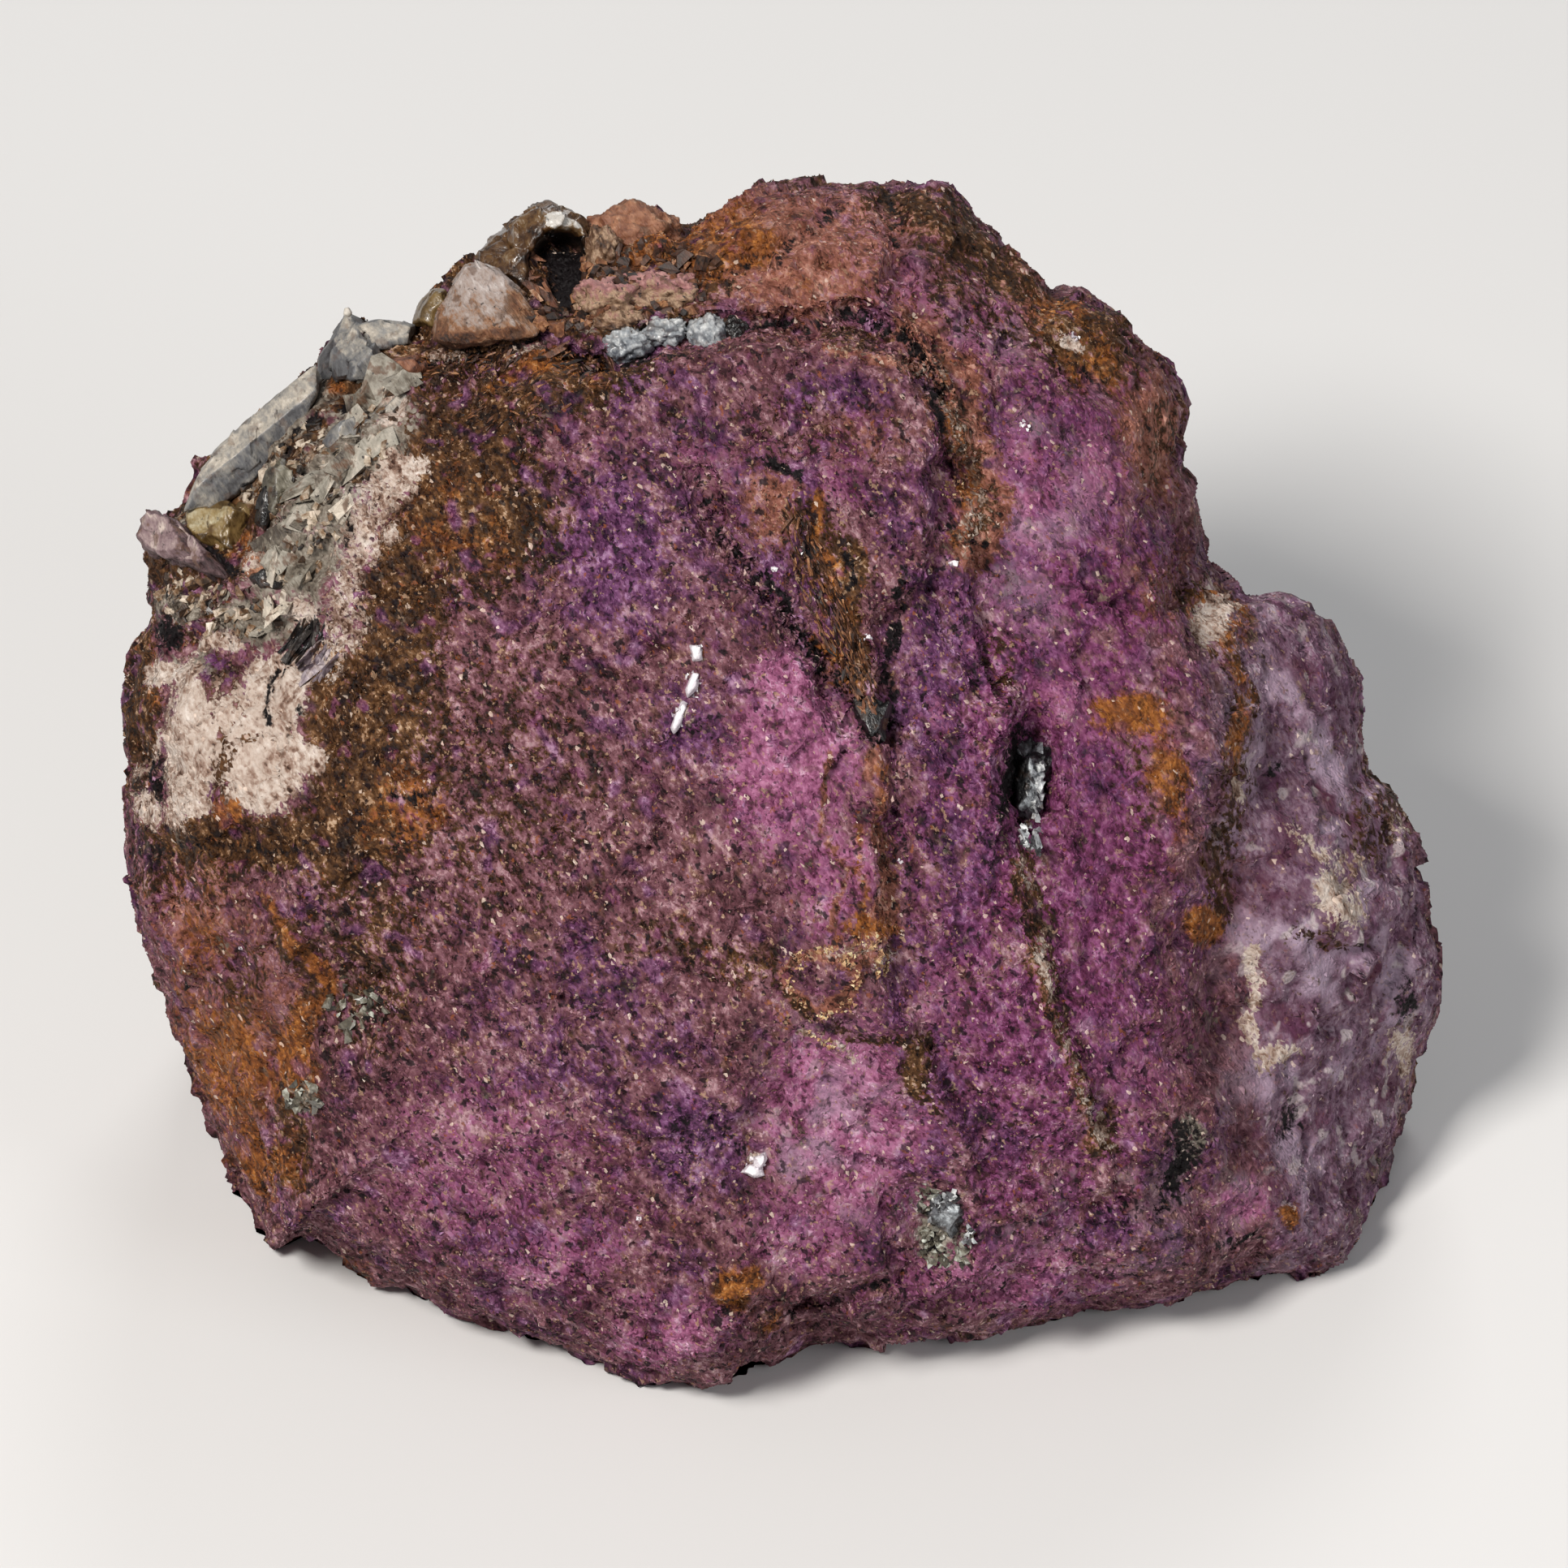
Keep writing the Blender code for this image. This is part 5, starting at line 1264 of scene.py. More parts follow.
# Finishes of the crystals: colours from dark to pale, size of their patches in mm, roughness,
# wet gloss over it, bump, and for the clear ones what they let through and take from the light
crystalLooks = {
    "frosted": {
        "colours": [(0.0, (46, 24, 12)), (0.25, (104, 62, 34)), (0.42, (138, 98, 68)),
                    (0.6, (152, 134, 124)), (0.8, (172, 158, 152)), (1.0, (212, 204, 198))],
        "patch": 0.8, "roughness": 0.72, "wet": 0.0, "bump": 2.4, "clear": 0.1, "dirt": 0.9,
        "absorbs": (196, 160, 140), "density": 260.0},
    "amber": {
        # the darkest stops give the dome's hollow its painted shade, the palest its painted highlight
        "colours": [(0.0, (10, 5, 3)), (0.2, (30, 17, 8)), (0.42, (74, 47, 22)), (0.65, (108, 78, 44)),
                    (0.85, (138, 118, 94)), (1.0, (204, 198, 190))],
        "patch": 0.7, "roughness": 0.32, "wet": 0.5, "bump": 1.2, "clear": 0.2, "dirt": 0.4,
        "absorbs": (170, 110, 60), "density": 420.0},
    "yellow": {
        "colours": [(0.0, (66, 46, 20)), (0.4, (140, 112, 66)), (0.75, (182, 158, 110)),
                    (1.0, (222, 210, 176))],
        "patch": 0.8, "roughness": 0.36, "wet": 0.3, "bump": 1.0, "clear": 0.4, "dirt": 0.6,
        "absorbs": (210, 180, 110), "density": 300.0},
    "slate": {
        "colours": [(0.0, (44, 40, 42)), (0.35, (98, 98, 100)), (0.6, (138, 134, 128)),
                    (0.85, (182, 172, 158)), (1.0, (208, 200, 188))],
        "patch": 0.9, "roughness": 0.52, "wet": 0.1, "bump": 1.2, "clear": 0.1, "dirt": 0.5,
        "absorbs": (150, 158, 170), "density": 300.0},
    "olive": {
        "colours": [(0.0, (48, 40, 32)), (0.35, (96, 90, 76)), (0.65, (138, 132, 116)),
                    (1.0, (186, 178, 162))],
        "patch": 0.5, "roughness": 0.42, "wet": 0.15, "bump": 1.2, "clear": 0.2, "dirt": 0.8,
        "absorbs": (170, 160, 130), "density": 300.0},
    "lilac": {
        "colours": [(0.0, (40, 22, 24)), (0.3, (78, 54, 56)), (0.55, (120, 97, 100)),
                    (0.8, (150, 130, 128)), (1.0, (192, 176, 166))],
        "patch": 0.7, "roughness": 0.68, "wet": 0.0, "bump": 1.8, "clear": 0.0, "dirt": 0.8},
    "jet": {
        "colours": [(0.0, (8, 7, 8)), (0.6, (26, 22, 22)), (1.0, (78, 72, 68))],
        "patch": 0.5, "roughness": 0.36, "wet": 0.25, "bump": 1.6, "clear": 0.0},
    "chalk": {
        "colours": [(0.0, (150, 138, 146)), (0.5, (214, 206, 212)), (1.0, (250, 246, 246))],
        "patch": 0.3, "roughness": 0.6, "wet": 0.1, "bump": 0.8, "clear": 0.0, "dirt": 0.2},
    "silver": {
        "colours": [(0.0, (12, 11, 13)), (0.3, (52, 52, 54)), (0.55, (112, 115, 118)),
                    (0.8, (172, 177, 180)), (1.0, (228, 232, 232))],
        "patch": 0.3, "roughness": 0.32, "wet": 0.4, "bump": 1.8, "clear": 0.0, "dirt": 0.3},
    "rust": {
        "colours": [(0.0, (46, 22, 12)), (0.4, (112, 66, 44)), (0.75, (152, 104, 76)),
                    (1.0, (196, 160, 132))],
        "patch": 0.6, "roughness": 0.62, "wet": 0.0, "bump": 1.6, "clear": 0.0, "dirt": 0.9},
}

# What the small white bits of the face have in common
whiteBit = {
    "rise": 0.5, "back": 0.6, "draft": 0.2, "sideTone": 0.5, "sharpness": 30, "rough": 0.08,
    "look": "chalk"}
# A facet's tone is partly the crystal's own colour and partly painted light and shade for how light falls on
# that facet.
# The cut crystals of the top left edge, then the single hard bits of the face. Corners go round
# each in the picture plane. Facets are tilt right, tilt up, height and tone, the main one first.
# Rise: how far the main facet stands out of the face; back: how deep the crystal goes behind;
# draft: slope of its sides; cells: squares across each half of the ball that it is cut from.
crystals = {
    "frostedWedge": {
        "corners": [(-14.5, 18.4), (-14.4, 19.4), (-13.2, 21.5), (-12.6, 21.5), (-11.8, 21.2),
                    (-10.7, 20.2), (-9.9, 18.9), (-10.2, 18.4), (-11.7, 18.2), (-13.6, 18.0)],
        "facets": [(-0.1, 0.35, 1.6, 0.55), (0.5, 0.5, 2.2, 0.36), (0.0, -0.5, 2.3, 0.34),
                   (-0.9, 0.5, 2.5, 0.5)],
        "rise": 2.2, "fade": 0.25, "back": 3.0, "draft": 0.06, "sideTone": 0.45, "sharpness": 60,
        "rough": 0.08, "cells": 72, "look": "frosted"},
    "domeCrystal": {
        "corners": [(-12.7, 21.4), (-12.5, 22.3), (-11.3, 23.2), (-10.6, 23.8), (-9.6, 23.9), (-8.4, 23.5),
                    (-8.0, 22.6), (-7.9, 21.4), (-8.4, 19.8), (-10.2, 19.6), (-11.6, 20.4)],
        # the third facet, pale at tone 1.0, is a painted highlight
        "facets": [(-0.15, 0.2, 1.5, 0.42), (-0.8, 0.7, 2.0, 0.5), (0.5, 1.1, 2.9, 1.0),
                   (0.6, -0.3, 2.0, 0.3)],
        # the hollow is pushed back and also darkened towards black as painted shade
        "hollow": (-9.25, 21.2, 1.15, 1.6, 10.0, 3.2), "fade": 0.12,
        "rise": 1.9, "back": 4.0, "draft": 0.15, "sideTone": 0.4, "sharpness": 24, "rough": 0.16,
        "cells": 84, "look": "amber"},
    "wedgeBackChip": {
        "corners": [(-15.4, 19.2), (-15.2, 19.8), (-14.6, 20.6), (-14.1, 20.6), (-13.8, 19.6),
                    (-14.4, 18.8)],
        "facets": [(-0.3, 0.3, 0.9, 0.35), (0.4, -0.2, 1.0, 0.3)],
        "rise": 1.0, "back": 1.6, "draft": 0.2, "sideTone": 0.3, "sharpness": 20, "rough": 0.08,
        "cells": 28, "look": "yellow"},
    "greyTip": {
        "corners": [(-18.2, 19.6), (-19.4, 17.6), (-19.4, 16.8), (-17.2, 16.4), (-16.6, 17.8),
                    (-17.6, 19.2)],
        # the second facet, facing left, is dark at tone 0.2 as painted shade
        "facets": [(-0.8, 1.1, 1.5, 0.62), (-1.7, 0.4, 1.7, 0.2), (0.2, 0.3, 2.2, 0.4)],
        "rise": 2.4, "back": 3.0, "draft": 0.08, "sideTone": 0.3, "sharpness": 60, "rough": 0.09,
        "cells": 52, "look": "slate"},
    "tipFacet": {
        "corners": [(-18.8, 18.0), (-17.9, 18.9), (-17.1, 18.2), (-16.5, 17.2), (-17.4, 16.7),
                    (-18.7, 16.9)],
        "facets": [(-0.9, 0.9, 0.9, 0.66), (-1.6, 0.2, 1.15, 0.3), (0.2, -0.3, 1.3, 0.5)],
        "rise": 1.3, "back": 1.8, "draft": 0.1, "sideTone": 0.3, "sharpness": 50, "rough": 0.12,
        "fade": 0.15, "cells": 40, "look": "slate"},
    "tipPlate": {
        "corners": [(-17.8, 19.1), (-17.2, 17.9), (-15.5, 18.2), (-15.4, 19.1), (-16.8, 19.3)],
        "facets": [(0.0, 1.0, 0.9, 0.78), (0.3, -0.1, 1.3, 0.4)],
        "rise": 1.2, "back": 2.0, "draft": 0.1, "sideTone": 0.5, "sharpness": 50, "rough": 0.09,
        "cells": 34, "look": "slate"},
    "tipBead": {
        "corners": [(-18.35, 19.5), (-18.3, 19.8), (-18.1, 19.85), (-17.95, 19.6), (-18.1, 19.4)],
        "facets": [(0.0, 0.2, 0.3, 1.0)],
        "rise": 0.9, "back": 0.5, "draft": 0.1, "sideTone": 1.0, "sharpness": 8, "rough": 0.02,
        "cells": 10, "look": "slate"},
    "orangeBlock": {
        "corners": [(-16.2, 17.5), (-15.3, 17.7), (-14.9, 17.2), (-15.3, 16.7), (-16.1, 16.8)],
        "facets": [(0.0, 0.1, 0.7, 0.6), (0.6, -0.4, 0.8, 0.3)],
        "rise": 0.3, "back": 1.2, "draft": 0.1, "sideTone": 0.4, "sharpness": 40, "rough": 0.14,
        "cells": 24, "look": "rust"},
    "greyPlate": {
        "corners": [(-25.5, 11.3), (-24.3, 12.9), (-24.1, 13.4), (-22.6, 14.8), (-20.5, 16.6),
                    (-19.5, 17.4), (-19.3, 16.2), (-20.0, 14.9), (-21.3, 13.2), (-22.0, 12.5),
                    (-23.4, 11.4)],
        "facets": [(0.25, -0.3, 1.1, 0.4), (-0.5, 0.62, 1.25, 0.74), (1.3, -1.5, 2.7, 0.2)],
        "rise": 1.5, "back": 2.6, "draft": 0.05, "sideTone": 0.7, "sharpness": 70, "rough": 0.08,
        "cells": 84, "look": "slate"},
    "paleShard": {
        "corners": [(-26.8, 10.3), (-26.7, 11.0), (-26.1, 11.25), (-25.4, 11.0), (-24.4, 10.2),
                    (-24.0, 9.7), (-24.7, 9.1), (-26.2, 9.6)],
        "facets": [(-0.9, 0.15, 1.2, 0.7), (-0.9, -0.9, 1.75, 0.4), (0.5, 0.9, 1.7, 0.3)],
        "rise": 2.0, "back": 2.6, "draft": 0.1, "sideTone": 0.4, "sharpness": 40, "rough": 0.12,
        "cells": 56, "look": "lilac"},
    "shardRidge": {
        "corners": [(-25.7, 10.5), (-25.1, 10.75), (-24.4, 10.2), (-23.2, 9.15), (-22.7, 8.5), (-22.9, 8.2),
                    (-23.9, 8.7), (-25.2, 9.4)],
        "facets": [(-1.1, 0.3, 1.1, 0.72), (-1.3, -1.0, 1.35, 0.35), (0.6, 1.1, 1.2, 0.3)],
        "rise": 1.5, "back": 2.0, "draft": 0.1, "sideTone": 0.3, "sharpness": 50, "rough": 0.12,
        "fade": 0.2, "cells": 48, "look": "lilac"},
    "yellowCrystal": {
        "corners": [(-24.9, 11.2), (-23.4, 11.7), (-22.2, 11.4), (-21.9, 10.3), (-22.3, 9.4), (-23.3, 9.4),
                    (-24.3, 10.2)],
        "facets": [(-0.6, 0.1, 1.0, 0.5), (0.5, -0.1, 1.2, 0.3), (-0.7, -0.7, 1.2, 0.25),
                   (-0.9, 0.6, 1.25, 0.75)],
        "rise": 1.5, "back": 1.6, "draft": 0.15, "sideTone": 0.3, "sharpness": 60, "rough": 0.14,
        "cells": 44, "look": "yellow"},
    "oliveNodule": {
        "corners": [(-21.5, 11.5), (-21.4, 12.9), (-20.8, 13.4), (-20.1, 12.9), (-20.1, 11.4),
                    (-20.9, 10.9)],
        "facets": [(0.2, 0.3, 0.9, 0.6), (-0.8, 0.2, 1.05, 0.2), (0.6, -0.5, 1.1, 0.45)],
        "rise": 0.6, "back": 1.4, "draft": 0.15, "sideTone": 0.3, "sharpness": 30, "rough": 0.14,
        "cells": 40, "look": "olive"},
    "greyFacetOne": {
        "corners": [(-19.0, 14.2), (-18.4, 14.9), (-17.7, 15.3), (-17.5, 14.6), (-17.8, 13.6),
                    (-18.6, 13.3)],
        "facets": [(0.15, 0.1, 0.6, 0.55), (-0.7, 0.3, 0.8, 0.3), (0.3, -0.7, 0.8, 0.6)],
        "rise": 0.3, "back": 1.2, "draft": 0.1, "sideTone": 0.4, "sharpness": 60, "rough": 0.09,
        "cells": 34, "look": "slate"},
    "greyFacetTwo": {
        "corners": [(-17.6, 13.6), (-17.3, 15.0), (-16.9, 15.3), (-16.6, 14.8), (-16.9, 13.4),
                    (-17.4, 12.9)],
        "facets": [(-0.35, 0.05, 0.6, 0.75), (0.7, 0.1, 0.75, 0.4)],
        "rise": 0.35, "back": 1.2, "draft": 0.1, "sideTone": 0.5, "sharpness": 60, "rough": 0.09,
        "cells": 34, "look": "slate"},
    "paleStreak": {
        "corners": [(-16.7, 15.1), (-16.5, 15.6), (-15.9, 16.2), (-15.5, 16.1), (-15.7, 15.5),
                    (-16.4, 14.9)],
        "facets": [(-0.1, 0.3, 0.5, 0.85), (0.6, -0.5, 0.65, 0.6)],
        "rise": 0.3, "back": 1.0, "draft": 0.1, "sideTone": 0.6, "sharpness": 50, "rough": 0.1,
        "cells": 28, "look": "slate"},
    "holeCrystal": {
        "corners": [(9.55, 2.2), (10.05, 2.6), (10.7, 2.1), (10.95, 0.5), (10.85, -1.3), (10.3, -2.7),
                    (9.7, -2.5), (9.5, -0.7), (9.45, 1.0)],
        # the second facet, facing left, is dark at tone 0.12 as painted shade under the hole's lip
        "facets": [(0.35, 0.25, 1.2, 0.75), (-0.9, 0.1, 1.15, 0.12), (0.2, -0.8, 1.5, 0.6),
                   (0.3, 1.0, 1.7, 0.3)],
        "rise": 1.5, "back": 1.6, "draft": 0.15, "sideTone": 0.2, "sharpness": 60, "rough": 0.26,
        "cells": 56, "look": "silver"},
    "lowerSilver": {
        "corners": [(5.95, -17.1), (6.5, -16.8), (7.2, -17.1), (7.35, -17.8), (6.8, -18.4), (6.1, -18.2)],
        "facets": [(0.3, 0.3, 0.6, 0.8), (-0.7, 0.2, 0.65, 0.4), (0.2, -0.8, 0.7, 0.6)],
        "rise": 0.6, "back": 1.0, "draft": 0.2, "sideTone": 0.3, "sharpness": 50, "rough": 0.2,
        "cells": 34, "look": "silver"},
    "blackGloss": {
        "corners": [(2.9, 3.55), (3.4, 3.7), (4.1, 3.2), (4.0, 2.05), (3.55, 1.8), (3.05, 2.6)],
        "facets": [(0.3, 0.2, 0.5, 0.3), (-0.7, 0.6, 0.55, 0.95)],
        "rise": 0.55, "back": 1.0, "draft": 0.2, "sideTone": 0.2, "sharpness": 50, "rough": 0.16,
        "cells": 28, "look": "jet"},
    "streakOne": {
        "corners": [(-3.88, 5.7), (-3.33, 5.7), (-3.37, 5.1), (-3.74, 5.05)],
        "facets": [(0.0, 0.1, 0.35, 0.8), (0.6, -0.3, 0.4, 0.5)],
        "cells": 16, **whiteBit},
    "streakTwo": {
        "corners": [(-3.74, 4.66), (-3.4, 4.56), (-3.55, 4.0), (-3.95, 3.5), (-4.05, 3.9), (-3.86, 4.35)],
        "facets": [(0.0, 0.1, 0.35, 0.85), (0.6, -0.3, 0.4, 0.5)],
        "cells": 18, **whiteBit},
    "streakThree": {
        "corners": [(-4.15, 3.4), (-3.92, 3.2), (-4.2, 2.5), (-4.5, 2.05), (-4.65, 2.3), (-4.45, 2.95)],
        "facets": [(0.0, 0.1, 0.35, 0.8), (0.6, -0.3, 0.4, 0.5)],
        "cells": 18, **whiteBit},
    "whiteSpotOne": {
        "corners": [(-1.28, -15.35), (-0.78, -15.2), (-0.7, -15.45), (-0.98, -15.85), (-1.3, -15.8)],
        "facets": [(0.1, 0.2, 0.3, 0.9), (-0.6, -0.3, 0.35, 0.5)],
        "cells": 16, **whiteBit},
    "whiteSpotTwo": {
        "corners": [(-1.78, -16.0), (-1.43, -15.65), (-0.95, -15.75), (-0.82, -16.1), (-1.22, -16.2)],
        "facets": [(0.1, 0.2, 0.3, 0.8), (0.6, -0.4, 0.35, 0.5)],
        "cells": 16, **whiteBit},
    "salmonChip": {
        "corners": [(-22.5, 8.4), (-22.2, 9.3), (-21.7, 9.5), (-21.2, 9.0), (-21.5, 8.4)],
        "facets": [(-0.8, 0.2, 0.5, 0.8), (-1.2, -0.4, 0.6, 0.5)],
        "rise": 0.2, "back": 1.0, "draft": 0.1, "sideTone": 0.5, "sharpness": 50, "rough": 0.14,
        "cells": 24, "look": "rust"},
    "darkChip": {
        "corners": [(-21.9, 10.8), (-21.6, 12.2), (-21.1, 12.5), (-20.9, 11.4), (-21.3, 10.4)],
        "facets": [(0.3, 0.2, 0.7, 0.4), (-0.6, 0.3, 0.8, 0.7)],
        "rise": 0.7, "back": 1.0, "draft": 0.2, "sideTone": 0.3, "sharpness": 14, "rough": 0.12,
        "cells": 24, "look": "jet"},
    "blackBead": {
        "corners": [(-22.0, 8.5), (-21.5, 8.9), (-20.6, 8.5), (-20.7, 8.0), (-21.5, 7.8)],
        "facets": [(0.3, 0.4, 0.6, 0.5), (-0.5, 0.1, 0.65, 0.3)],
        "rise": 0.5, "back": 0.9, "draft": 0.2, "sideTone": 0.3, "sharpness": 14, "rough": 0.14,
        "cells": 20, "look": "jet"},
    "blackDot": {
        "corners": [(-20.15, 12.9), (-20.1, 13.15), (-19.9, 13.15), (-19.85, 12.9), (-20.0, 12.8)],
        "facets": [(0.2, 0.2, 0.3, 0.2)],
        "rise": 0.8, "back": 0.8, "draft": 0.2, "sideTone": 0.1, "sharpness": 10, "rough": 0.02,
        "cells": 12, "look": "jet"},
}


def makeCrystals(surface):
    # each crystal cut from its own corners and facets
    finishes = {name: stoneMaterial(name + "Crystal", look) for name, look in crystalLooks.items()}
    for name, look in crystals.items():
        cutStone(name, look, finishes[look["look"]], surface)
    print("crystals:", len(crystals))
    return finishes


# Rounded nodules: right, up, half width, half height, half depth, rise, lumpiness, tone, how
# much the tone grows upwards, and finish
nodules = {
    "redNodule": (-6.3, 22.7, 2.0, 1.4, 1.8, 0.8, 0.35, 0.5, 0.1, "rust"),
    "rimNodule": (-7.5, 21.9, 0.8, 1.3, 1.4, 0.8, 0.4, 0.3, 0.0, "pebble"),
    "tanNodule": (-5.2, 20.2, 1.7, 1.0, 1.4, 0.6, 0.5, 0.5, 0.4, "pebble"),
    "pinkNodule": (-7.3, 20.0, 1.3, 0.95, 1.3, 0.7, 0.5, 0.5, 0.45, "pebble"),
    "lowerNodule": (-6.9, 19.0, 1.1, 0.6, 1.0, 0.5, 0.5, 0.3, 0.2, "pebble"),
    "greyBeadOne": (-6.5, 18.1, 1.0, 0.85, 1.0, 0.8, 0.5, 0.55, 0.3, "milky"),
    "greyBeadTwo": (-4.9, 18.75, 0.95, 0.68, 0.9, 0.9, 0.5, 0.66, 0.2, "milky"),
    "greyBeadThree": (-3.2, 18.5, 0.85, 1.0, 1.0, 1.0, 0.34, 0.6, 0.2, "milky"),
    "darkBead": (-2.0, 18.7, 0.6, 0.8, 0.8, 0.7, 0.3, 0.4, 0.1, "jet"),
}
noduleLooks = {
    "pebble": {
        "colours": [(0.0, (40, 24, 16)), (0.25, (98, 68, 46)), (0.45, (160, 132, 106)),
                    (0.6, (146, 108, 92)), (0.75, (142, 94, 94)), (1.0, (172, 126, 120))],
        "patch": 0.5, "roughness": 0.6, "wet": 0.0, "bump": 1.8, "clear": 0.0, "dirt": 1.0},
    "milky": {
        "colours": [(0.0, (30, 30, 38)), (0.3, (84, 88, 96)), (0.6, (146, 150, 154)),
                    (1.0, (212, 212, 210))],
        "patch": 0.4, "roughness": 0.4, "wet": 0.3, "bump": 0.8, "clear": 0.15,
        "absorbs": (180, 190, 200), "density": 300.0},
}
noduleCells = 44
noduleWaves = [(1.7, 1.0, 91), (4.0, 0.6, 92), (11.0, 0.3, 93)]    # waves round the ball, share, seed


def makeNodules(finishes, surface):
    # oval balls swollen by waves, half sunk in the rock
    for name, look in noduleLooks.items():
        finishes[name] = stoneMaterial(name + "Nodule", look)
    for name, (right, up, wide, high, deep, rise, lump, tone, grow, finish) in nodules.items():
        directions, quads = roundGrid(noduleCells)
        swell = np.ones(len(directions))
        for fineness, share, seed in noduleWaves:
            swell += lump * share * waveNoise(directions * fineness + right, seed)
        points = directions * swell[:, None] * (wide, high, deep)
        tones = tone + grow * directions[:, 1]
        ground = surface["points"][nearestOnFace(surface, [right], [up])[0], 2]
        points += (right, up, ground + rise - deep)
        piece = makeMesh(name, points, quads)
        smoothShade(piece)
        setAttribute(piece, "tone", np.repeat(tones[:, None], 4, axis=1))
        piece.data.materials.append(finishes[finish])
        onRock(piece)
    print("nodules:", len(nodules))


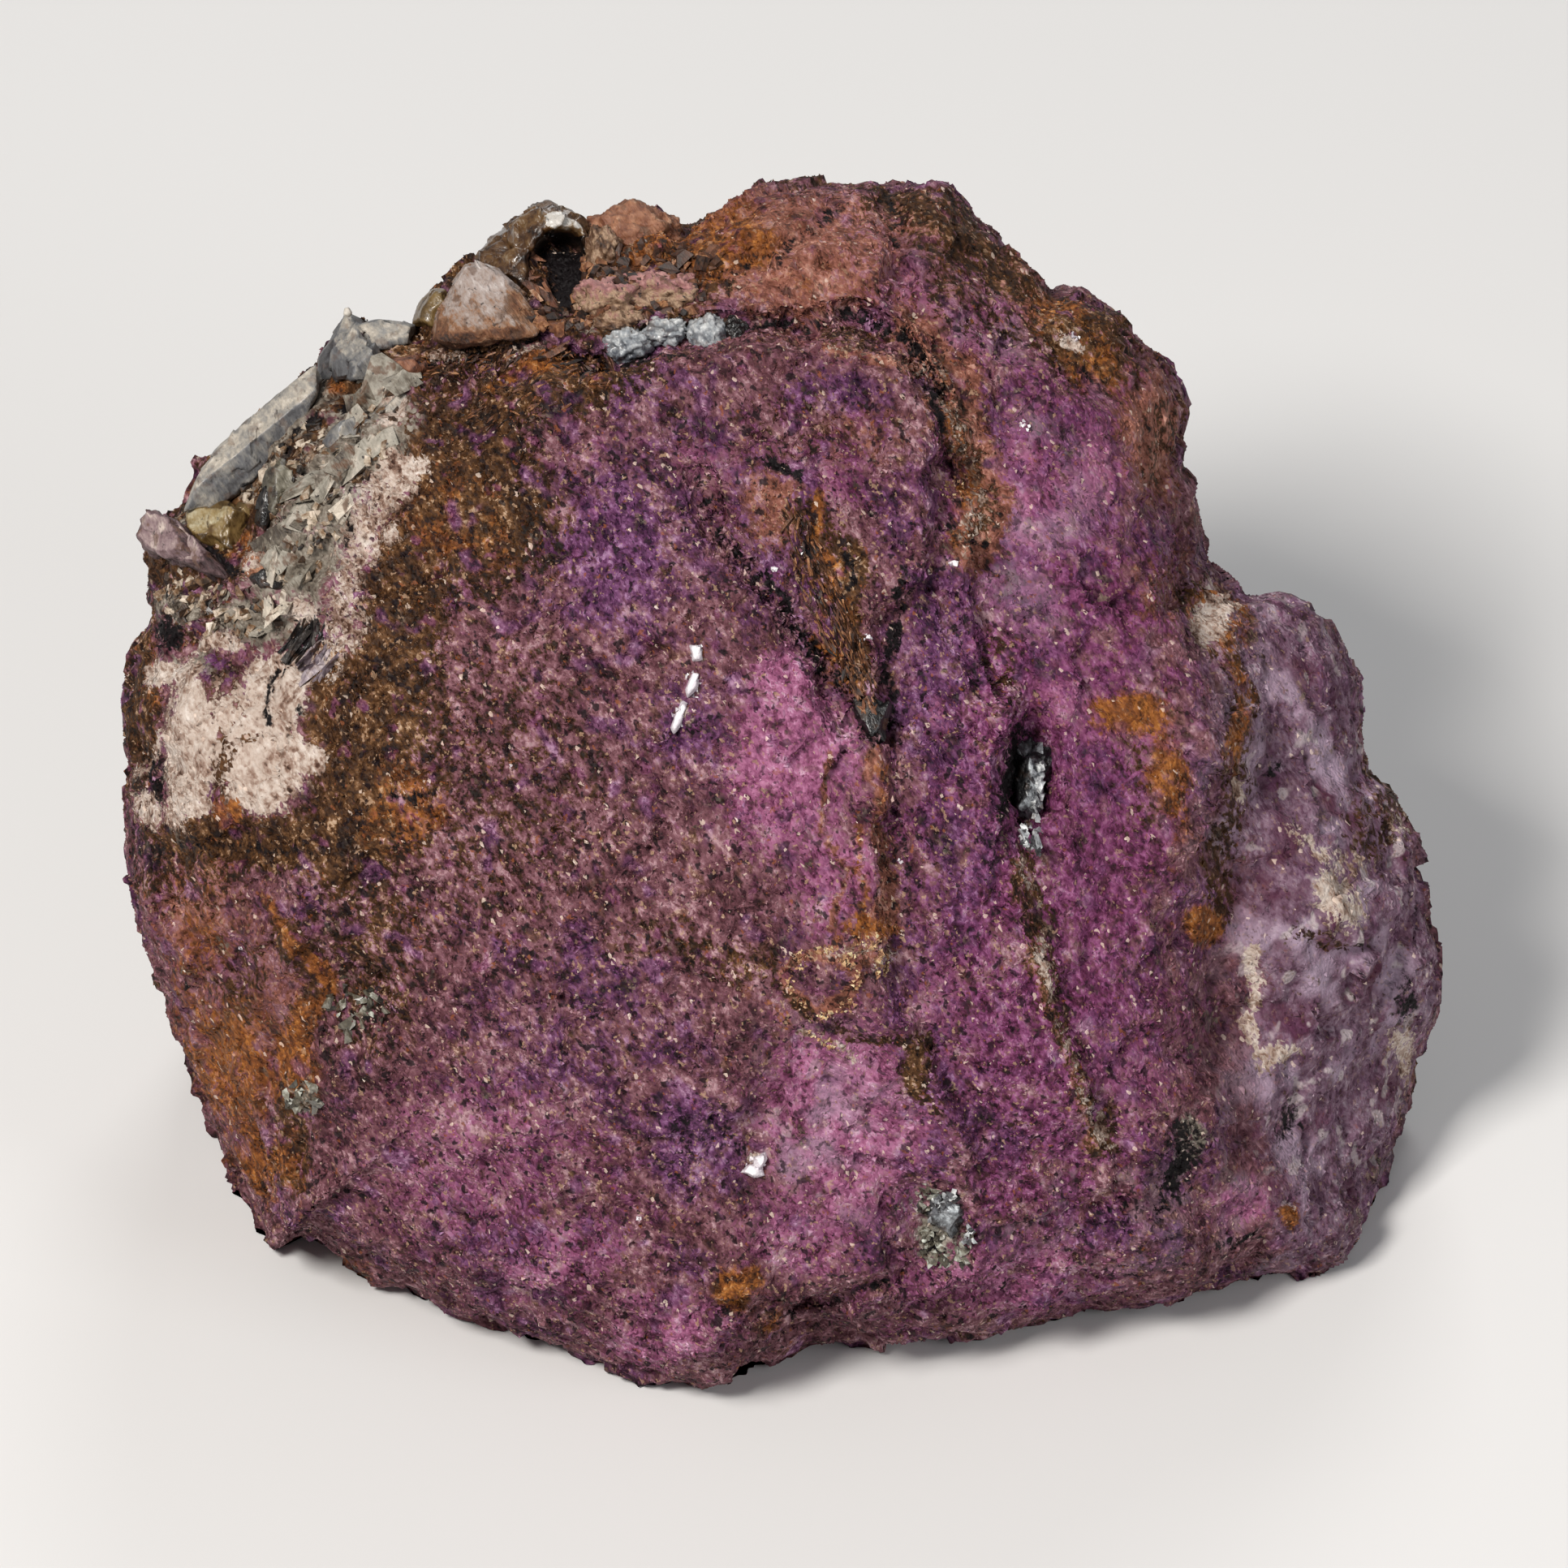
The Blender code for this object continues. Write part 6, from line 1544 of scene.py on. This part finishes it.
# Small hard bits strewn in ovals: right, up, half width, half height, turn, count; then the way
# that they run in degrees, their half sizes, how much they lean and swing, how far they are
# lifted out of the rock, and their look. Their kind is ridge, unless another is named.
clusters = {
    "plateCrust": {
        "ovals": [(-17.2, 14.4, 0.9, 1.5, -40.0, 12), (-18.6, 12.2, 1.2, 1.6, -40.0, 14),
                  (-20.2, 9.8, 1.3, 1.6, -35.0, 14), (-22.2, 7.0, 1.7, 1.0, 10.0, 12),
                  (-16.8, 16.6, 1.4, 0.7, 20.0, 10)],
        "kind": "block", "slant": 52.0, "half": (0.5, 0.3, 0.1), "lean": 0.1, "swing": 0.25,
        "look": "crust"},
    "crustBits": {
        "ovals": [(-17.4, 14.0, 1.2, 2.0, -40.0, 50), (-20.0, 10.2, 1.6, 2.4, -40.0, 70),
                  (-22.6, 7.0, 2.4, 1.2, 0.0, 60), (-20.6, 13.2, 0.8, 2.6, -45.0, 90),
                  (-25.0, 8.0, 1.3, 1.0, 0.0, 40)],
        "kind": "block", "slant": 52.0, "half": (0.18, 0.12, 0.12), "lean": 0.4, "swing": 0.6,
        "look": "gravel"},
    "noduleCrust": {
        "ovals": [(-5.8, 20.3, 2.8, 1.1, 0.0, 110), (-7.4, 21.4, 0.9, 1.4, 0.0, 50),
                  (-9.4, 19.2, 1.6, 0.5, 0.0, 40), (-4.4, 21.9, 1.8, 0.8, 0.0, 40)],
        "kind": "block", "slant": 20.0, "half": (0.2, 0.15, 0.16), "lean": 0.4, "swing": 0.8, "look": "bark"},
    "wedgeSplinters": {
        "ovals": [(1.7, 7.6, 0.8, 4.2, 22.0, 420), (3.2, 4.4, 0.45, 1.8, 12.0, 150)],
        "slant": -68.0, "half": (0.26, 0.032, 0.07), "lean": 0.2, "swing": 0.16, "look": "bark"},
    "ledgeSplinters": {
        "ovals": [(-13.0, 17.3, 2.4, 0.4, 8.0, 90), (-8.6, 17.2, 1.8, 0.6, -25.0, 60),
                  (-11.0, 15.6, 2.6, 0.9, 10.0, 70)],
        "slant": 14.0, "half": (0.24, 0.03, 0.055), "lean": 0.25, "swing": 0.35, "look": "bark"},
    "cavitySplinters": {
        "ovals": [(-10.7, 21.8, 0.28, 1.0, 8.0, 14), (-9.9, 20.2, 0.5, 0.25, -30.0, 8)],
        "slant": -80.0, "half": (0.6, 0.09, 0.16), "lean": 0.2, "swing": 0.15, "look": "rust"},
    "holeMica": {
        "ovals": [(10.4, -0.2, 0.34, 1.7, -6.0, 40), (10.2, -2.2, 0.4, 0.8, 10.0, 24)],
        "slant": -80.0, "half": (0.20, 0.08, 0.16), "lean": 0.7, "swing": 0.5, "lift": 1.3, "look": "mica"},
    "lowerMica": {
        "ovals": [(6.6, -17.5, 0.6, 0.75, -20.0, 40), (7.6, -18.7, 0.3, 0.4, 0.0, 10)],
        "slant": -60.0, "half": (0.16, 0.08, 0.14), "lean": 0.8, "swing": 0.8, "lift": 0.3, "look": "mica"},
    "lowerMatrix": {
        "ovals": [(6.7, -18.9, 1.1, 1.3, 0.0, 90), (6.0, -17.2, 0.5, 0.9, 0.0, 26)],
        "slant": -60.0, "half": (0.17, 0.1, 0.12), "lean": 0.6, "swing": 0.9, "look": "steel"},
    "ringSand": {
        "ovals": [(4.0, -7.4, 0.3, 0.62, 0.0, 170), (3.0, -8.1, 0.2, 0.5, 0.0, 36),
                  (2.6, -7.2, 0.4, 0.3, 0.0, 46), (1.7, -6.8, 0.5, 0.18, 0.0, 40),
                  (0.7, -7.2, 0.3, 0.4, 0.0, 36), (0.3, -8.1, 0.16, 0.5, 0.0, 26),
                  (0.7, -9.0, 0.3, 0.3, 0.0, 20), (1.6, -9.5, 0.6, 0.15, 20.0, 34),
                  (2.6, -9.1, 0.3, 0.4, 0.0, 30), (1.6, -10.5, 0.8, 0.16, -30.0, 40),
                  (3.4, -6.4, 0.6, 0.4, 0.0, 60), (6.9, 12.2, 0.5, 0.5, 0.0, 90)],
        "kind": "chip", "slant": -57.0, "half": (0.09, 0.055, 0.06), "lean": 0.4, "swing": 0.8,
        "look": "sand"},
    "leftMica": {
        "ovals": [(-19.9, -13.0, 0.8, 0.7, 0.0, 36), (-17.6, -9.2, 1.2, 1.4, 20.0, 40)],
        "slant": -50.0, "half": (0.22, 0.10, 0.16), "lean": 0.7, "swing": 0.9, "look": "steel"},
    "striatedBlades": {
        "ovals": [(-19.75, 6.1, 0.75, 0.95, -35.0, 46)],
        "slant": 52.0, "half": (0.5, 0.07, 0.12), "lean": 0.15, "swing": 0.08, "look": "jet"},
    "paleBlades": {
        "ovals": [(-19.25, 5.0, 0.6, 0.7, -35.0, 22)],
        "slant": 52.0, "half": (0.4, 0.07, 0.12), "lean": 0.15, "swing": 0.1, "lift": 0.05,
        "look": "mauveStone"},
    "whiteFlecks": {
        "ovals": [(-3.6, 5.4, 0.3, 0.28, 0.0, 8), (-3.7, 4.1, 0.28, 0.6, 20.0, 14),
                  (-4.3, 2.8, 0.24, 0.6, 30.0, 14), (-1.25, -15.7, 0.5, 0.42, 20.0, 16),
                  (0.7, 9.6, 0.14, 0.16, 0.0, 5), (-0.4, 8.7, 0.1, 0.14, 0.0, 3),
                  (-6.0, -17.9, 0.14, 0.14, 0.0, 6), (4.8, -3.1, 0.12, 0.12, 0.0, 4),
                  (-11.1, 0.7, 0.12, 0.12, 0.0, 4), (6.9, 9.1, 0.14, 0.14, 0.0, 5),
                  (3.4, 6.0, 0.14, 0.14, 0.0, 5), (-22.5, -6.8, 0.1, 0.12, 0.0, 4),
                  (9.9, 14.8, 0.3, 0.2, 0.0, 8), (12.1, 18.6, 0.24, 0.2, 0.0, 8)],
        "slant": -57.0, "half": (0.075, 0.05, 0.07), "lean": 0.4, "swing": 0.9, "look": "chalk"},
}
clusterLooks = {
    "crust": {
        "colours": [(0.0, (60, 50, 40)), (0.25, (110, 101, 88)), (0.5, (142, 136, 124)),
                    (0.8, (168, 159, 146)), (1.0, (196, 184, 168))],
        "patch": 0.5, "roughness": 0.6, "wet": 0.0, "bump": 1.4, "clear": 0.0, "dirt": 1.0},
    "gravel": {
        "colours": [(0.0, (16, 12, 10)), (0.3, (58, 40, 26)), (0.55, (118, 88, 60)),
                    (0.75, (158, 142, 122)), (1.0, (206, 190, 172))],
        "patch": 0.4, "roughness": 0.5, "wet": 0.1, "bump": 1.0, "clear": 0.0, "dirt": 0.5},
    "bark": {
        "colours": [(0.0, (22, 11, 7)), (0.4, (68, 38, 22)), (0.75, (112, 68, 42)), (1.0, (158, 112, 76))],
        "patch": 0.3, "roughness": 0.6, "wet": 0.0, "bump": 0.8, "clear": 0.0},
    "mica": {
        "colours": [(0.0, (24, 22, 24)), (0.4, (96, 96, 100)), (0.75, (160, 162, 164)),
                    (1.0, (226, 228, 226))],
        "patch": 0.3, "roughness": 0.36, "wet": 0.1, "bump": 0.2, "clear": 0.0},
    "steel": {
        "colours": [(0.0, (30, 26, 22)), (0.4, (84, 78, 66)), (0.75, (126, 122, 110)),
                    (1.0, (178, 180, 168))],
        "patch": 0.3, "roughness": 0.3, "wet": 0.4, "bump": 0.2, "clear": 0.0},
    "mauveStone": {
        "colours": [(0.0, (40, 30, 36)), (0.4, (96, 82, 90)), (0.75, (138, 124, 130)),
                    (1.0, (186, 172, 172))],
        "patch": 0.3, "roughness": 0.5, "wet": 0.1, "bump": 0.8, "clear": 0.0},
    "sand": {
        "colours": [(0.0, (104, 66, 44)), (0.4, (164, 118, 84)), (0.7, (194, 158, 118)),
                    (1.0, (220, 204, 160))],
        "patch": 0.4, "roughness": 0.6, "wet": 0.0, "bump": 0.4, "clear": 0.0},
}


clusterSeed = 100
clusterUneven = 0.25


def makeClusters(finishes, surface):
    # small solids at random places in each cluster's ovals, set on the face
    for name, look in clusterLooks.items():
        finishes[name] = stoneMaterial(name + "Bits", look)
    for number, (name, look) in enumerate(clusters.items()):
        chance = np.random.default_rng(clusterSeed + number)
        right, up = [], []
        for centreRight, centreUp, halfWidth, halfHeight, turn, count in look["ovals"]:
            radius = np.sqrt(chance.uniform(size=count))
            angle = chance.uniform(0.0, 2.0 * math.pi, count)
            across = halfWidth * radius * np.cos(angle)
            along = halfHeight * radius * np.sin(angle)
            swing = math.radians(turn)
            right.append(centreRight + across * math.cos(swing) - along * math.sin(swing))
            up.append(centreUp + across * math.sin(swing) + along * math.cos(swing))
        right, up = np.concatenate(right), np.concatenate(up)
        near = nearestOnFace(surface, right, up)
        places = np.column_stack([right, up, surface["points"][near, 2] + look.get("lift", 0.0)])
        out = surface["normals"][near] + chance.normal(scale=look["lean"], size=(len(near), 3))
        out /= np.linalg.norm(out, axis=1)[:, None]
        slant = math.radians(look["slant"])
        along = np.array([math.cos(slant), math.sin(slant), 0.0])
        along = along + chance.normal(scale=look["swing"], size=out.shape)
        kind = look.get("kind", "ridge")
        solids = smallSolids(kind, places, along, out, look["half"], chance, clusterUneven)
        tone = np.repeat(chance.uniform(size=(len(near), 1)), 4, axis=1)
        solidsPiece(name, kind, solids, {"tone": tone}, finishes[look["look"]])


photo = {
    "pixels": 1932.0,             # width of the photo
    "pixelSize": 0.034,           # mm of the rock to a pixel
    "lens": 400.0,
    "sensor": 36.0,
    "clip": (0.01, 20.0),
}


def addCamera():
    # a long lens that looks straight at the picture plane, as wide as the photo
    camera = bpy.data.cameras.new("camera")
    camera.lens = photo["lens"]
    camera.sensor_width = photo["sensor"]
    camera.clip_start, camera.clip_end = photo["clip"]
    lean = math.radians(rock["lean"])
    frameWidth = photo["pixels"] * photo["pixelSize"] * millimetre
    distance = frameWidth * camera.lens / camera.sensor_width
    middle = toWorld(np.zeros((1, 3)))[0]
    seat = bpy.data.objects.new("camera", camera)
    seat.location = middle + distance * np.array([0.0, -math.cos(lean), math.sin(lean)])
    seat.rotation_euler = (math.pi / 2.0 - lean, 0.0, 0.0)
    bpy.context.scene.collection.objects.link(seat)
    bpy.context.scene.camera = seat


studio = {
    # name: place, size across, watts, colour
    "keyLight": ((-0.19, -0.27, 0.40), 0.12, 2.9, (1.0, 0.97, 0.93)),
    "fillLight": ((0.38, -0.30, 0.24), 0.24, 0.8, (0.96, 0.98, 1.0)),
    "backLight": ((0.06, 0.40, 0.35), 0.20, 0.8, (1.0, 1.0, 1.0)),
}
lampTarget = (0.0, 0.0, 0.018)
skyLook = {"colour": (0.92, 0.95, 1.0, 1.0), "strength": 0.20}
floorLook = {"colour": (0.68, 0.67, 0.66, 1.0), "roughness": 0.9, "reach": 3.0}


def addStudio():
    # soft lamps turned to the rock, a plain pale floor and an even sky
    for name, (place, size, watts, colour) in studio.items():
        lamp = bpy.data.lights.new(name, "AREA")
        lamp.size, lamp.energy, lamp.color = size, watts, colour
        seat = bpy.data.objects.new(name, lamp)
        seat.location = place
        away = np.array(place) - lampTarget
        turn = math.atan2(away[1], away[0]) + math.pi / 2.0
        seat.rotation_euler = (math.acos(away[2] / np.linalg.norm(away)), 0.0, turn)
        bpy.context.scene.collection.objects.link(seat)
    mesh = bpy.data.meshes.new("floor")
    reach = floorLook["reach"]
    corners = [(-reach, -reach, 0.0), (reach, -reach, 0.0), (reach, reach, 0.0), (-reach, reach, 0.0)]
    mesh.from_pydata(corners, [], [(0, 1, 2, 3)])
    floor = bpy.data.objects.new("floor", mesh)
    bpy.context.scene.collection.objects.link(floor)
    paint = Finish("palePaper")
    paint.surface("Base Color", floorLook["colour"])
    paint.surface("Roughness", floorLook["roughness"])
    mesh.materials.append(paint.material)
    world = bpy.data.worlds.new("studio")
    world.use_nodes = True
    sky = world.node_tree.nodes["Background"]
    sky.inputs[0].default_value = skyLook["colour"]
    sky.inputs[1].default_value = skyLook["strength"]
    bpy.context.scene.world = world
    bpy.context.scene.view_settings.view_transform = "Standard"


addCamera()
addStudio()
print("camera, floor and lights")
surface = makeBody()
grainPieces(surface, rockMaterial("looseGrains", True))
finishes = makeCrystals(surface)
makeNodules(finishes, surface)
makeClusters(finishes, surface)
